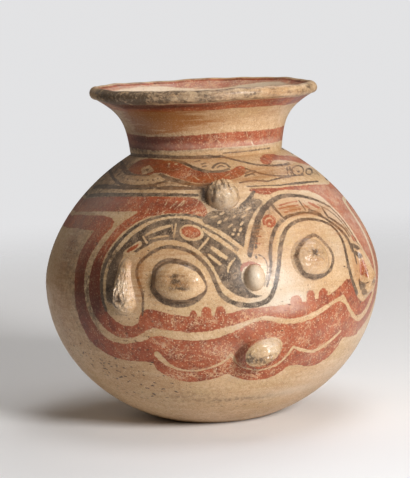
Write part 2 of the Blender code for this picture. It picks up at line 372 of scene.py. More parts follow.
def pinchedEye(right, up, rise):
    pit = hump(right, up, (0.02, 0.22), (0.16, 0.16))
    crest = hump(right, up, (-0.02, -0.15), (0.24, 0.20))
    side = hump(right, up, (0.45, 0.1), (0.22, 0.16))
    spokes = (0.5 + 0.5 * np.sin(7 * np.arctan2(up - 0.2, right) + 1)) ** 3
    creases = spokes * hump(right, up, (0.02, 0.2), (0.5, 0.45))
    rise = np.abs(rise) ** 0.9 - 0.22 * pit + 0.10 * crest - 0.08 * side - 0.06 * creases
    return right, up, rise, 1.8 * pit + 0.6 * side + 0.5 * creases


def partedLips(right, up, rise):
    slit = hump(right, up + 0.22 * right ** 2, (0.35, 0.12), (0.62, 0.12))
    chips = hump(right, up, (-0.35, 0.25), (0.22, 0.2)) + hump(right, up, (0.1, -0.45), (0.3, 0.2))
    return right, up, rise * (1 - 0.12 * slit - 0.06 * chips), 0.35 * slit + 0.3 * chips


def flutedKnob(right, up, rise):
    # fine grooves fan down from the top like a shell, and the lower rim stands out
    fan = np.arctan2(right, 1.45 - up)
    deepness = 0.55 + 0.45 * np.sin(fan * 7 + 4 * up + 0.5)
    flute = (1 - np.abs(np.sin(fan * 13 + 0.9 + 0.3 * up))) ** 1.3
    groove = flute * np.clip((rise - 0.10) * 3, 0, 1) * deepness
    lean = 1 + 0.16 * np.clip(-up, -1, 1)
    # dirt in the grooves, and a painted shadow down the knob's left foot
    dirt = 1.3 * groove + 1.5 * hump(right, up, (-0.95, 0.05), (0.22, 0.7)) * np.clip(1 - rise, 0, 1)
    return right * (1 - 0.02 * groove), up, rise * (1 - 0.11 * groove) * lean, dirt


def lugLobe(right, up, rise):
    # a round lobe at the foot, drawn out upwards into a low blunt tail
    level = np.clip(up, -0.97, 0.97)
    lobe = np.sqrt(np.clip(1 - ((level + 0.55) / 0.45) ** 2, 0.06, 1))
    tail = 0.40 + 0.60 * np.exp(-(np.clip(level + 0.55, 0, 2) / 0.85) ** 2)
    tip = np.sqrt(np.clip(1 - (np.clip(level - 0.76, 0, 1) / 0.24) ** 2, 0.05, 1))
    wide = np.where(level < -0.55, lobe, tail * tip) / np.sqrt(1 - level ** 2)
    high = 0.40 + 0.60 * np.exp(-(np.clip(up + 0.50, 0, 2) / 0.60) ** 2)
    bend = 0.09 * np.clip(up + 0.2, 0, 2) ** 2
    chip = hump(right, up, (0.0, -0.50), (0.40, 0.16))
    dirt = 1.7 * hump(right, up, (-0.05, -0.45), (0.28, 0.15))
    return right * wide + bend, up, rise * high * (1 - 0.16 * chip), dirt


eyeLump = dict(width=0.0335, tall=0.0255, standoff=0.0085)
eyeLump.update(footDirt=0.35, edge=70, skirt=0.08, around=112, rough=0.05, coarse=1.6)
eyes = dict(
    left=dict(eyeLump, angle=-24.0, height=0.1080, tilt=-6, seed=(1, 4, 2), shine=0.8),
    right=dict(eyeLump, angle=22.6, height=0.1158, tilt=0, seed=(7, 1, 5)),
)
eyes["right"].update(width=0.0262, tall=0.0242, standoff=0.0070, shine=0.65)
eyes["right"].update(edge=64, skirt=0.12, rough=0.09, coarse=3.0)
noseLump = dict(angle=0.6, height=0.1083, width=0.0124, tall=0.0162, standoff=0.0088, tilt=2, shine=0.35)
noseLump.update(footDirt=0.25, edge=80, skirt=0.10, around=80, rough=0.03, coarse=1.6, seed=(3, 3, 9))
mouthLump = dict(angle=1.6, height=0.0578, width=0.0300, tall=0.0200, standoff=0.0100, tilt=14)
mouthLump.update(footDirt=0.6, edge=76, skirt=0.08, around=112, rough=0.11, coarse=4.0, seed=(5, 8, 1))
knobLump = dict(angle=-7.0, height=0.1582, width=0.0220, tall=0.0212, standoff=0.0138, tilt=0)
knobLump.update(footDirt=0.8, edge=82, skirt=0.05, around=144, rough=0.09, coarse=3.4, seed=(2, 6, 6))
lugLump = dict(width=0.0154, tall=0.0342, standoff=0.0075)
lugLump.update(footDirt=0.4, edge=68, skirt=0.08, around=112, rough=0.20, coarse=4.2)
lugs = dict(
    left=dict(lugLump, angle=-43.6, height=0.1046, tilt=2, seed=(9, 2, 4)),
    right=dict(lugLump, angle=50.0, height=0.1020, tilt=4, seed=(4, 9, 7)),
)
lugs["right"].update(rough=0.05, coarse=2.0)

pressLump("eyeLeft", "eye_left", eyes["left"], rubbedEye)
pressLump("eyeRight", "eye_right", eyes["right"], pinchedEye)
pressLump("nosePellet", "nose", noseLump, bluntNose)
pressLump("mouthPellet", "mouth", mouthLump, partedLips)
pressLump("browKnob", "brow_knob", knobLump, flutedKnob)
pressLump("earLeft", "ear_left", lugs["left"], lugLobe)
pressLump("earRight", "ear_right", lugs["right"], lugLobe)


# Brushwork: strokes in the order they were laid, as photo pixels, widths in millimetres

def stroke(slip, width, *points):
    return dict(kind="line", slip=slip, width=np.atleast_1d(width) * mm, points=points)


def band(slip, upper, lower):
    return dict(kind="area", slip=slip, sides=(upper, lower[::-1]))


def patch(slip, *points):
    return dict(kind="area", slip=slip, sides=(points + points[:1],))


def byWall(item):
    # points as degrees round from the front and millimetres up
    return dict(item, byWall=True)


def spot(slip, centre, half, turn=0):
    steps = np.linspace(0, math.tau, 17)
    c, s = math.cos(math.radians(turn)), math.sin(math.radians(turn))
    x, y = half[0] * np.cos(steps), half[1] * np.sin(steps)
    return patch(slip, *zip(centre[0] + x * c + y * s, centre[1] - x * s + y * c))


def tooth(left, right, top, foot):
    middle = (left + right) / 2
    return patch("red", (left, foot), (left, top + 3), (middle, top), (right, top + 3), (right, foot))


redBands = {
    "serpentBody": patch(
        "red", (128.5, 170), (133.5, 164), (140, 160.3), (148, 158.4), (160, 159.6), (172, 161),
        (180, 163), (187.5, 166.8), (198, 170.5), (210, 172.3), (221, 172), (231, 170), (236, 166.8),
        (241, 165.5), (245, 167.5), (246, 171), (242, 175.5), (234, 178.5), (217, 181.8), (205, 183.2),
        (195, 182.6), (187, 181), (180, 179), (172.5, 176.8), (164, 173.4), (156, 173), (148, 175),
        (136, 174.5)),
    "shoulderPatch": patch(
        "red", (260, 158), (264, 154.4), (272, 153.6), (280, 155.4), (292, 156), (304, 160), (313, 166),
        (303, 164), (294, 161.5), (280, 159.8), (272, 161), (269.5, 164), (262, 163.2)),
    "headBandLeft": band(
        "red",
        [(85, 199), (100, 197), (120, 196.4), (140, 196.2), (165, 196.4), (190, 197.3), (198, 199.5),
         (203, 203.5), (207, 210)],
        [(75, 212), (85, 212), (100, 211.8), (120, 211.5), (137, 211.5), (150, 216), (165, 213.5),
         (180, 213.5), (195, 215.5), (207, 218)]),
    "headBandRight": band(
        "red",
        [(248, 190), (255, 188.5), (266, 188), (277, 187.5), (290, 186), (310, 184.6)],
        [(254, 192.5), (262, 194.4), (270, 194), (279, 190.4), (294, 189.4), (312, 190.5)]),
    "secondBand": patch(
        "red", (72, 215.8), (90, 215.6), (103, 215.8), (111, 217.8), (114, 223), (111, 231), (95, 231.2),
        (76, 228.6), (66, 227)),
    "outerMaskBand": band(
        "red",
        [(95, 230), (86, 242), (79, 256), (75.2, 270.5), (74.3, 288), (75.5, 303), (78.5, 316), (82, 326),
         (90, 340), (103, 351.4), (117, 358), (132, 361), (152, 362)],
        [(114, 226), (106, 235), (98, 246), (91, 258), (87, 271), (85.8, 285), (87, 300), (91, 315),
         (98, 327), (108, 336), (120, 342), (133, 342), (143, 341), (151, 337)]),
    "innerMaskBand": band(
        "red",
        [(138, 211), (122, 222), (114, 231), (107, 240), (100, 250), (94, 261), (90, 274), (88.7, 288),
         (90, 301), (94, 313), (101, 324), (110, 332.5), (122, 337.5), (135, 337), (145, 332),
         (152, 328)],
        [(160, 213.5), (145, 218), (134, 224), (124, 231.5), (116, 240), (109, 249), (104, 259),
         (101, 270), (100, 285), (101.5, 298), (105, 308), (111, 316.5), (119, 323), (128, 326),
         (138, 323.5), (142, 318), (142, 311)]),
    "cheekBand": band(
        "red",
        [(138, 323), (141.5, 312), (150, 309.5), (160, 311.5), (172, 314.4), (186, 316.3), (200, 316.5),
         (213, 316.2), (227, 313.6), (244, 309.5), (258, 307.5), (275, 306), (290, 304), (302, 302),
         (314, 299.5), (327, 295.7), (335, 291), (342, 284.5), (347, 279)],
        [(135, 330), (145, 328.5), (152, 327.5), (165, 330), (180, 331.6), (195, 332.5), (210, 331),
         (227, 327), (244, 322), (258, 317.6), (268, 316.2), (280, 318), (293, 318.8), (305, 316),
         (316, 311), (326, 305), (335, 299), (344, 294)]),
    "cheekCorner": patch(
        "red", (336, 291), (342, 284.5), (347, 279), (350, 285), (354, 296), (357, 300.5), (357, 315),
        (353, 312), (348, 304), (344, 295)),
    "toothOne": tooth(190.2, 196.6, 310, 319),
    "toothTwo": tooth(202, 211, 306.3, 319),
    "toothThree": tooth(216, 224.8, 306, 318),
    "toothFour": tooth(291.4, 301.5, 295, 306),
    "toothFive": tooth(307, 314.2, 290, 303),
    "toothSix": tooth(319.2, 327.2, 288, 299),
    "jawBand": band(
        "red",
        [(143, 342), (150, 337.5), (158, 335.5), (165, 337), (175, 339.4), (190, 340.5), (203, 340.3),
         (217, 338), (231, 333), (246, 325.8), (260, 320.6), (270, 321), (280, 323.4), (292, 324),
         (304, 321.6), (315, 317.2), (326, 309.6), (334, 303.5), (340, 301), (345, 304), (349, 312),
         (354, 319), (359, 321.5)],
        [(135, 361), (145, 361.3), (152, 362.5), (157.5, 370), (168, 376.4), (180, 380.6), (192, 382),
         (205, 380.5), (217, 378), (227, 374.3), (235, 377), (245, 380), (258, 380), (270, 377.5),
         (281, 372), (288, 366.7), (297, 365), (308, 366.4), (318, 363.8), (329, 356.5), (337, 347),
         (342.5, 338), (350, 336.5), (357, 334.5)]),
}

rightSide = {
    "innerMaskBand": byWall(band(
        "red",
        [(42, 160), (50, 158.8), (58, 157.6), (66, 156.8), (74, 156.5), (74, 147.5), (68, 147.3),
         (63.6, 146.4), (61.4, 143), (60.9, 136), (61, 126), (60.9, 116), (60.7, 106), (60.2, 98),
         (59, 90), (56.8, 83), (53.8, 77.5), (50, 73.2), (45.6, 72.4), (42.6, 75.6), (40, 81.6),
         (36.3, 88.6)],
        [(39, 156.2), (43.4, 152.8), (45.6, 148.3), (46.5, 142.6), (47.5, 136.6), (50.3, 129.2),
         (51.3, 122.3), (52.6, 115.4), (55, 109.5), (57.4, 103), (58.2, 97), (57.6, 90.5), (55.4, 85.5),
         (52, 82.2), (48.6, 81), (45.4, 83), (43, 87.5), (41.4, 93), (40.2, 98.5), (37.4, 98.5)])),
    "outerMaskBand": byWall(band(
        "red",
        [(74, 136.8), (71.8, 135.6), (70.4, 131), (70.2, 122), (70, 112), (69.4, 102), (68.2, 92),
         (66, 82.5), (62.8, 74), (58.6, 67), (53, 61.6), (47.5, 58.6)],
        [(74, 144.2), (67.5, 144.2), (64.6, 142.4), (63.6, 138), (63.4, 128), (63.3, 117), (63.1, 106),
         (62.5, 96.6), (61.2, 87.6), (58.8, 79.6), (55.4, 73.2), (50.6, 68.6), (46, 67.6)])),
    "maskLine": byWall(stroke(
        "cream", 2.1, (35.5, 87), (38.4, 80.2), (41.6, 73.6), (45.6, 70), (50, 70.8), (54.3, 75),
        (57.6, 81), (60, 88.5), (61.3, 97), (61.9, 106), (62.1, 116), (62.2, 126), (62.3, 136), (63, 142),
        (66, 145.5), (72, 146), (80, 146))),
    "browBorder": byWall(stroke(
        "cream", 1.6, (42.8, 151.6), (44.7, 149), (46, 145.5), (47.6, 141), (49.4, 133.5), (50.9, 125.5),
        (52.2, 117.5), (54.4, 110.5), (56.8, 103.5), (57.6, 97), (57, 91), (55, 86.4), (51.8, 83.4),
        (48.6, 82.4), (45.8, 84.2), (43.6, 88.6))),
    "browEdge": byWall(stroke(
        "dark", [1.3, 1.3, 1.1, 1.0], (44.8, 145.4), (46.8, 139), (48.6, 131.5), (49.8, 124), (50.8, 117),
        (51.5, 114))),
    "lugEdge": byWall(stroke(
        "dark", [0.8, 1.6, 1.6, 0.8], (53.6, 110), (56, 103.5), (56.8, 97), (56, 91.5))),
}

creamLines = {
    "creamWedge": patch(
        "cream", (106, 212.6), (120, 212.2), (137, 212.2), (124, 221), (111.5, 230.5), (114.3, 222),
        (111, 217), (104, 215.3)),
    "leftCreamLine": stroke("cream", 2.0, (72, 214.2), (80, 213.6), (95, 213.6), (110, 214)),
    "maskLine": stroke(
        "cream", [2.0, 2.9, 3.2, 3.2, 3.3, 3.4, 3.6], (122, 222), (113, 229), (105.5, 236), (98, 246),
        (91, 258), (87, 271), (85.8, 285), (87, 299), (90, 311), (95.5, 322.5), (103, 332.5), (113, 339),
        (124, 341.3), (134, 340), (142, 337), (149, 332.5), (157, 331.5)),
    "scallopOne": stroke(
        "cream", [4.4, 4.2, 2.2, 1.6, 1.4, 1.4, 1.7, 2.0], (157.5, 354.5), (162, 359.5), (169, 365),
        (177, 368.8), (186, 370.5), (198, 370.6), (212, 367.3), (224, 361.5), (231.5, 354.5)),
    "scallopTwo": stroke(
        "cream", [2.0, 1.6, 1.5, 1.5, 1.8, 2.0], (231.5, 354.5), (237, 363.5), (246, 368.6), (258, 370),
        (272, 367), (284, 359), (293.5, 347)),
    "scallopThree": stroke(
        "cream", [1.8, 2.0, 2.6, 3.0, 2.6, 2.0], (293.5, 347), (302, 350.3), (312, 351.6), (322, 347),
        (332, 339.5), (340, 331.5)),
    "scallopStray": stroke("cream", [0.6, 1.0, 0.6], (341, 336), (338.5, 342), (334, 348)),
    "serpentEye": patch(
        "cream", (141, 169), (145, 166.8), (149.6, 165.4), (152, 167.6), (154, 170.6), (148, 173),
        (142.8, 174.4)),
    "serpentDotOne": spot("cream", (169, 164), (1.1, 1.0)),
    "serpentDotTwo": spot("cream", (176, 164), (1.6, 1.0)),
}

frieze = {
    "jawShade": patch(
        "dark", (120.5, 160), (124, 163), (127, 169), (133, 173.5), (142, 174.6), (150, 175.6),
        (136, 176.4), (125, 175.5), (121, 170)),
    "jawPlate": patch(
        "cream", (111.5, 162), (115, 160.5), (119.5, 162), (121, 169), (123.5, 173.4), (128, 175.2),
        (136, 175.8), (149, 175.8), (157.5, 174), (163, 176), (168, 178.4), (160, 181.2), (150, 183.4),
        (136, 184), (125, 183), (117.5, 179), (113, 172.5)),
    "jawFoot": stroke(
        "dark", 1.3, (109.5, 168), (111, 174.5), (115.5, 181), (123, 184.8), (136, 186), (150, 185.2),
        (160, 182.8), (169, 180)),
    "underJaw": band(
        "dark",
        [(96, 185), (106, 184.5), (117, 185.5), (135, 187), (150, 186.4), (157, 185)],
        [(92, 188.8), (110, 189), (130, 189.6), (150, 189.2), (157, 187.6)]),
    "leftFleck": patch("cream", (102, 183.8), (109, 180.6), (116.5, 184.2), (109, 184.6)),
    "serpentEyeDot": spot("dark", (147.2, 169.5), (1.9, 1.3)),
    "serpentBack": stroke(
        "dark", [0.8, 1.4, 1.7, 1.7, 1.4, 1.0], (172, 160), (182, 162.3), (190, 166), (199, 169.6),
        (209, 171.6), (221, 171.4), (229, 169)),
    "serpentBelly": stroke(
        "dark", [1.3, 1.9, 2.0, 1.6, 1.1], (160, 174.2), (168, 178), (178, 181), (188, 183.8),
        (200, 185.6), (211, 184)),
    "wedgeFoot": stroke(
        "dark", [1.4, 2.2, 2.0, 1.2], (158, 188.2), (168, 187.8), (180, 188), (203, 188.4)),
    "friezeFootLeft": stroke(
        "dark", [1.9, 1.9, 1.8, 1.4], (88, 196.2), (100, 195), (142, 194.5), (170, 194.6), (197, 195.3)),
    "neckFootLine": stroke(
        "dark", [1.2, 1.4, 1.4, 1.6], (130, 154.5), (140, 155.6), (152, 156), (168, 157), (184, 157.6),
        (200, 157.5), (210, 157)),
    "neckTopLine": stroke("dark", 0.5, (223, 153.4), (238, 152), (253, 150.4), (270, 148)),
    "waveTop": stroke(
        "dark", [1.4, 1.3, 1.2, 1.1, 1.3, 2.0], (205, 157), (223, 157), (233, 159.3), (244.5, 162),
        (257, 164.5), (270, 165.2), (280, 164.8), (288, 163)),
    "dashA": stroke("dark", 0.6, (195, 161.6), (200, 160.6)),
    "dashB": stroke("dark", 0.6, (201, 164), (205, 163.4)),
    "dashC": stroke("dark", 0.6, (202.5, 166.6), (206, 166)),
    "gable": stroke("dark", 0.9, (212.5, 168), (215.6, 164.6), (221, 162.8), (226, 164), (229.5, 167)),
    "gableInner": stroke("dark", 0.5, (217, 168), (221, 165.6), (225, 167)),
    "tailHatchA": stroke("dark", 0.8, (245, 176), (251, 173.6), (256, 171.6)),
    "tailHatchB": stroke("dark", 0.7, (246, 172.4), (251, 170.6), (255, 170.4)),
    "waveMiddle": stroke(
        "dark", [0.9, 0.9, 0.8, 0.9], (246, 168.5), (254, 171.4), (264, 174), (273, 175.2), (287, 175.7),
        (303, 174.6)),
    "waveLow": stroke(
        "dark", [0.8, 0.9, 0.9, 0.8], (240, 182.7), (250, 180.7), (260, 180.4), (267, 181), (277, 178.4),
        (290, 176.4)),
    "friezeFootRight": stroke(
        "dark", [0.6, 0.6, 0.8, 1.4, 0.8], (247, 186.4), (262, 185.6), (278, 185), (291, 183.6),
        (302, 182.4), (318, 181)),
    "scrollHatchA": stroke("dark", 0.5, (286.6, 167), (287, 171), (288, 174.6)),
    "scrollHatchB": stroke("dark", 0.5, (289.6, 166), (290, 170), (291, 174.6)),
    "scrollRim": spot("dark", (297.5, 170.2), (6.6, 5.4)),
    "scrollDisc": spot("cream", (297.5, 170.2), (5.2, 4.0)),
    "scrollDot": spot("dark", (298.2, 171.4), (1.4, 1.1)),
    "lobeRim": spot("dark", (309, 171.4), (3.8, 3.6)),
    "lobeDisc": spot("cream", (308.8, 171.6), (2.4, 2.1)),
    "scrollEnd": stroke("dark", [0.6, 0.8, 0.6], (312.6, 169), (316, 171.6), (319, 175.4)),
    "headDark": spot("dark", (285.5, 164), (3.2, 1.4), 10),
    "tongue": patch("cream", (272, 161.3), (280, 160.6), (287.5, 161.2), (286, 163), (273, 163.8)),
    "browSlash": stroke("dark", [1.2, 1.8, 1.6], (254, 191.5), (248, 200), (241, 206)),
}
jawDots = (
    (116, 170), (118.8, 174.2), (122.6, 177.8), (127.5, 179.2), (132.5, 179.4),
    (137.7, 180), (142.6, 180.2), (148, 180.2), (153, 179.9), (157.8, 178.6),
)
for number, middle in enumerate(jawDots):
    frieze[f"jawDot{number}"] = spot("dark", middle, (0.95, 0.8))

foreheadNet = {
    "net": patch(
        "dark", (203, 222), (206, 215), (212, 211), (222, 210.5), (234, 208.5), (243, 204), (251, 199),
        (262, 201), (255, 212), (250, 224), (246.5, 238), (244, 247), (233, 239), (219, 229.5)),
}
netFlecks = (
    (226, 219, 3.2, 38), (234, 217, 2.4, 42), (244.4, 215.6, 3.6, 36), (248, 209, 3.6, 30),
    (230.4, 225.6, 3.6, 32), (241.8, 223.4, 2.4, 50), (234.6, 229.6, 1.8, 60), (240.6, 229.2, 2.2, 62),
    (233, 234, 1.6, 30), (214.6, 216.6, 4.4, 14), (238.4, 234.4, 1.8, 55), (222, 213.6, 2.6, 28),
    (219.5, 222, 2.4, 24),
)
for number, (x, y, long, turn) in enumerate(netFlecks):
    foreheadNet[f"netFleck{number}"] = spot("cream", (x, y), (long, 1.2), turn)

leftBrow = {
    "outerDark": stroke(
        "dark", [2.2, 2.8, 3.0, 2.6, 1.9, 1.7, 1.7], (106, 310), (102.5, 299), (101.5, 285), (103, 272),
        (107, 260.5), (113, 249.5), (121, 239.5), (131, 230), (142, 222.7), (154, 218), (166, 215.4),
        (178, 214.4), (190, 215), (202, 217.6), (212, 221.5)),
    "browField": band(
        "dark",
        [(104.5, 300), (104.5, 288), (106.5, 274), (110.5, 262), (117, 251), (125, 241.5), (134, 233),
         (144, 226.5), (155, 221.5), (166, 218.6), (178, 217.6), (190, 219), (202, 223.5), (215, 230.5),
         (228, 238.6), (240, 247)],
        [(118, 309), (113, 301), (114, 286), (117, 273), (121.5, 264), (128, 257), (137, 252),
         (146, 246.5), (156, 241), (167, 239.6), (178, 240.6), (188, 243.8), (198, 249.5), (207, 258),
         (215, 268), (222, 266), (232, 258)]),
    "lugField": patch(
        "cream", (127.5, 252), (121.5, 260), (117.5, 271), (115.5, 284), (115, 296), (118, 308),
        (126, 313), (134, 308), (136, 296), (134, 280), (133, 266), (137, 254)),
    "outerCream": stroke(
        "cream", [2.4, 1.9, 1.6, 1.5, 1.5, 1.6, 1.8, 2.2], (128, 320), (118, 318), (110, 311),
        (106, 301.5), (104.6, 288), (106.3, 274.5), (110, 263), (116, 253), (123, 244.4), (131, 236),
        (141, 228.4), (152.5, 222), (165, 218.2), (177.5, 217), (190, 218.8), (202.5, 223.8),
        (215, 230.6), (230, 240), (239, 246.5), (246, 252.5)),
    "longStroke": stroke(
        "cream", [1.6, 2.8, 2.6, 1.8], (146, 235), (153, 231), (162, 227.6), (170, 225.4)),
    "shortStroke": stroke("cream", [1.0, 1.5, 1.3], (149.5, 239), (158, 237), (168, 235.4)),
    "bracket": stroke("cream", 1.3, (143.4, 236.5), (145, 240), (147, 242.5)),
    "crossBar": stroke("cream", 1.3, (176, 223.6), (175, 230), (173.8, 236.6)),
    "midStroke": stroke("cream", [0.6, 0.8], (172, 224), (172.6, 231)),
    "ovalRim": spot("cream", (191.5, 232.4), (12.4, 8.2), -10),
    "oval": spot("red", (191.2, 231.9), (10.0, 5.8), -10),
    "ovalTail": stroke("cream", [1.4, 1.6, 1.2], (208.5, 238), (204, 243.5), (199, 249)),
    "browStripe": stroke(
        "cream", [1.6, 3.0, 2.8, 2.0], (203, 229), (211, 234.5), (220, 240), (229, 246.5), (236, 252)),
    "ladderTop": stroke("cream", [2.4, 2.8, 2.2], (212, 247.6), (219, 252.6), (227.4, 258.6)),
    "ladderFoot": stroke("cream", [1.4, 2.0, 1.8], (208.6, 254), (214, 258.6), (221, 264.4)),
    "rustHalo": stroke("cream", 4.2, (126, 253), (132, 249), (139, 244)),
    "rust": stroke("red", [1.4, 3.0, 2.8, 1.4], (127, 252), (131, 249), (135, 247), (138, 244.6)),
    "browHem": stroke(
        "cream", [2.0, 2.2, 2.3, 2.2, 2.0, 1.9], (129, 321), (136.5, 317.5), (139.8, 309), (137.6, 300),
        (134.2, 291), (132, 281.5), (131.6, 273), (133, 266), (136.6, 260), (142, 254.4), (149.5, 248),
        (157, 243.6), (163.5, 242), (172.5, 241.4), (185, 245), (195, 250.4), (203, 258), (210, 268),
        (215.6, 277), (221, 286.5), (228, 293.3), (239, 298.8), (250, 300.2), (260, 298.4),
        (267.8, 292.2), (272.2, 281), (274.4, 269), (275.6, 255.6), (277, 242), (280, 231.5), (286, 223),
        (294, 218), (304, 215.6), (315, 216.8), (325, 221), (335, 228), (342.5, 236.8), (347.5, 248),
        (350.5, 260.5), (353.5, 275), (357.5, 288), (362, 297)),
}

noseLines = {
    "noseShade": patch(
        "dark", (214, 267), (221, 265), (226, 260), (232, 254), (238, 256), (242, 266), (241.5, 278),
        (246.5, 288), (255, 294.5), (262, 295.4), (256, 297.6), (248, 298), (239, 296), (230, 291),
        (223.5, 284.6), (218, 275)),
    "noseBare": spot("cream", (255, 277), (11.5, 16)),
    "noseGlint": stroke(
        "cream", [0.6, 1.6, 1.4, 0.6], (235, 258), (231, 262.5), (228.6, 267), (228, 272)),
    "noseArcs": stroke(
        "dark", [0.6, 0.7, 0.7, 0.5], (254, 255), (260, 255), (265, 259), (267.4, 266), (266.6, 277),
        (264, 286)),
    "noseCrown": stroke(
        "red", [1.8, 2.8, 2.4, 1.4], (241.4, 270), (243, 266), (248, 263.4), (253, 263), (259.5, 265.4)),
    "underBrow": stroke(
        "dark", [1.4, 1.6, 1.7, 1.8, 2.0, 2.1, 2.1, 2.1, 2.3, 2.6, 2.9, 3.0, 2.8, 2.6, 2.7, 2.2, 1.9, 2.0,
        2.4, 2.8, 2.8], (142.5, 315), (142.8, 306.7), (143, 298.3), (141.5, 290), (138.5, 281.7),
        (136.9, 273.5), (137.7, 266.7), (141, 261.5), (147.5, 255.6), (156, 250), (165, 246.8),
        (175, 247), (187.5, 250.4), (197.5, 256.3), (206, 264.5), (212, 274), (216, 284), (221, 294),
        (229, 300.6), (239, 304.4), (250, 305.4), (260, 304), (268.5, 299.6), (273.5, 291), (276.2, 281),
        (278.3, 269), (279.6, 256), (281, 244), (284, 233.5), (290, 225.4), (298.8, 220.4), (309, 219),
        (320, 220.4), (330, 224.6), (337.5, 232), (343, 242), (346, 254), (349, 268), (352.6, 281),
        (357, 293)),
}

rightBrow = {
    "browField": band(
        "tan",
        [(246, 254), (247.4, 240), (250.4, 226), (255, 214), (262, 204.6), (271, 197.6), (281, 193),
         (300, 193), (315, 196.4), (328, 202), (340, 215), (350, 228.6), (356, 239), (361, 249.5),
         (364.5, 260), (366, 272)],
        [(273, 284), (274, 269), (275.4, 255), (276.5, 243), (279.4, 232), (285, 223.6), (293, 218),
         (304, 215), (315.4, 216), (326, 220.4), (336, 227.4), (344, 237), (349, 248), (352, 260),
         (355, 274), (360, 287)]),
    "outerCream": stroke(
        "cream", [2.2, 2.2, 2.2, 2.0, 1.6, 1.4, 1.2], (245, 252), (246, 244), (247.4, 235.6),
        (249.6, 226.7), (253.4, 217.6), (258.6, 209.4), (264, 203), (271, 197.2), (281, 192.6),
        (291, 191.8), (301, 192.4), (315, 195.6), (327.5, 200.6)),
    "outerDark": stroke(
        "dark", [2.6, 3.0, 3.2, 3.2, 2.8, 2.3, 1.9, 1.3], (249.8, 255), (252, 242), (254.6, 230.5),
        (258.4, 219), (264, 209), (272, 201), (281, 196.2), (293, 195.2), (306, 196.8), (318.8, 201),
        (330, 206.8)),
    "outerThin": stroke(
        "dark", [0.7, 0.9, 0.8], (318, 204.5), (329, 210.5), (339, 219), (347, 229.5), (354, 241)),
    "sideThin": stroke("dark", [0.8, 1.2, 1.0], (261, 222), (258, 231), (256.6, 240), (255.6, 248.5)),
    "stepOne": stroke("red", 0.8, (257, 229.5), (261.5, 229)),
    "stepTwo": stroke("red", 0.8, (256.5, 236), (261, 236.4)),
    "stepThree": stroke("red", 0.8, (255.8, 243), (260, 244)),
    "stepBlotOne": spot("dark", (258, 233), (1.6, 1.2)),
    "stepBlotTwo": spot("dark", (255.7, 247), (1.8, 1.6)),
    "stepBlotThree": spot("dark", (256.2, 257), (1.6, 1.8)),
    "paleBar": stroke("cream", 1.8, (264, 228), (266.4, 236), (265, 246)),
    "innerGrey": stroke(
        "dark", [1.0, 1.4, 1.8, 2.1, 2.3, 2.1, 1.7, 1.5, 2.0, 2.5, 2.2], (267, 286), (269.4, 276),
        (270.8, 264.5), (270.4, 253), (271, 242), (274, 232), (279, 223), (287, 217), (297, 213.6),
        (308, 212.4), (320, 215.6), (330, 221.6), (340, 229.4), (347.5, 238.6), (352.4, 250.5)),
    "swirlRim": stroke(
        "red", 2.2, (264.6, 224), (263.6, 219.6), (266.5, 216.2), (271, 216), (274.3, 219.5),
        (273.8, 224.2), (270, 226.6), (267, 224), (267.6, 220.8), (270.6, 220.4), (271, 222.8)),
    "combEdge": stroke("dark", 1.6, (272.5, 205.5), (277, 211), (281.5, 215.6)),
    "combOne": stroke("red", 1.3, (279, 209), (288, 206.6), (298, 205)),
    "combTwo": stroke("red", 1.3, (279, 205.4), (287, 203), (296.5, 201)),
    "combThree": stroke("red", 1.1, (284, 212.4), (292, 210), (300, 208.8)),
    "crack": stroke("cream", 0.7, (271.8, 209.3), (279.5, 216), (287.3, 222.7)),
    "combEnd": stroke("dark", 1.0, (299, 200.6), (302, 205), (305.6, 210)),
    "dashOne": stroke("red", [1.0, 1.8, 1.2], (302.6, 203), (306, 206), (309.6, 208.6)),
    "dashTwo": stroke("red", [1.4, 3.0, 2.6], (308.6, 202.4), (313, 204.6), (317.6, 207)),
    "dashThree": stroke("dark", [1.4, 2.0, 1.6], (309, 209.6), (315, 211.6), (321, 214.6)),
    "dashFour": stroke("dark", [1.0, 1.8, 1.8], (322, 208), (325, 212.4), (328, 217)),
    "dashFive": stroke("red", 0.9, (319, 206.4), (322, 211)),
    "trail": stroke(
        "dark", [1.6, 1.9, 1.7, 1.2], (329.5, 217.5), (337, 222.6), (344.4, 228.6), (349, 236)),
    "kite": patch("red", (351, 234.6), (354, 236), (357, 241.4), (352.6, 239.6)),
    "blockOne": stroke("dark", 2.8, (353.6, 245.6), (357, 247.4)),
    "blockTwo": stroke("dark", 2.6, (356, 253), (359, 256)),
    "blockEdge": stroke("dark", 1.5, (351.6, 244), (354.4, 254), (356.6, 263)),
    "lugRed": stroke("red", [1.6, 2.6, 3.0, 1.6], (362.6, 261), (362, 266), (360.8, 271), (361.8, 274)),
    "lugRedSide": stroke("red", 1.4, (363.4, 263), (366, 270), (367, 276)),
    "lugDarkOne": stroke("dark", [2.2, 3.2, 2.0], (359.4, 281), (360.4, 284.6), (362.4, 288)),
    "lugDarkTwo": spot("dark", (364.4, 292), (2.4, 3.0), -30),
}

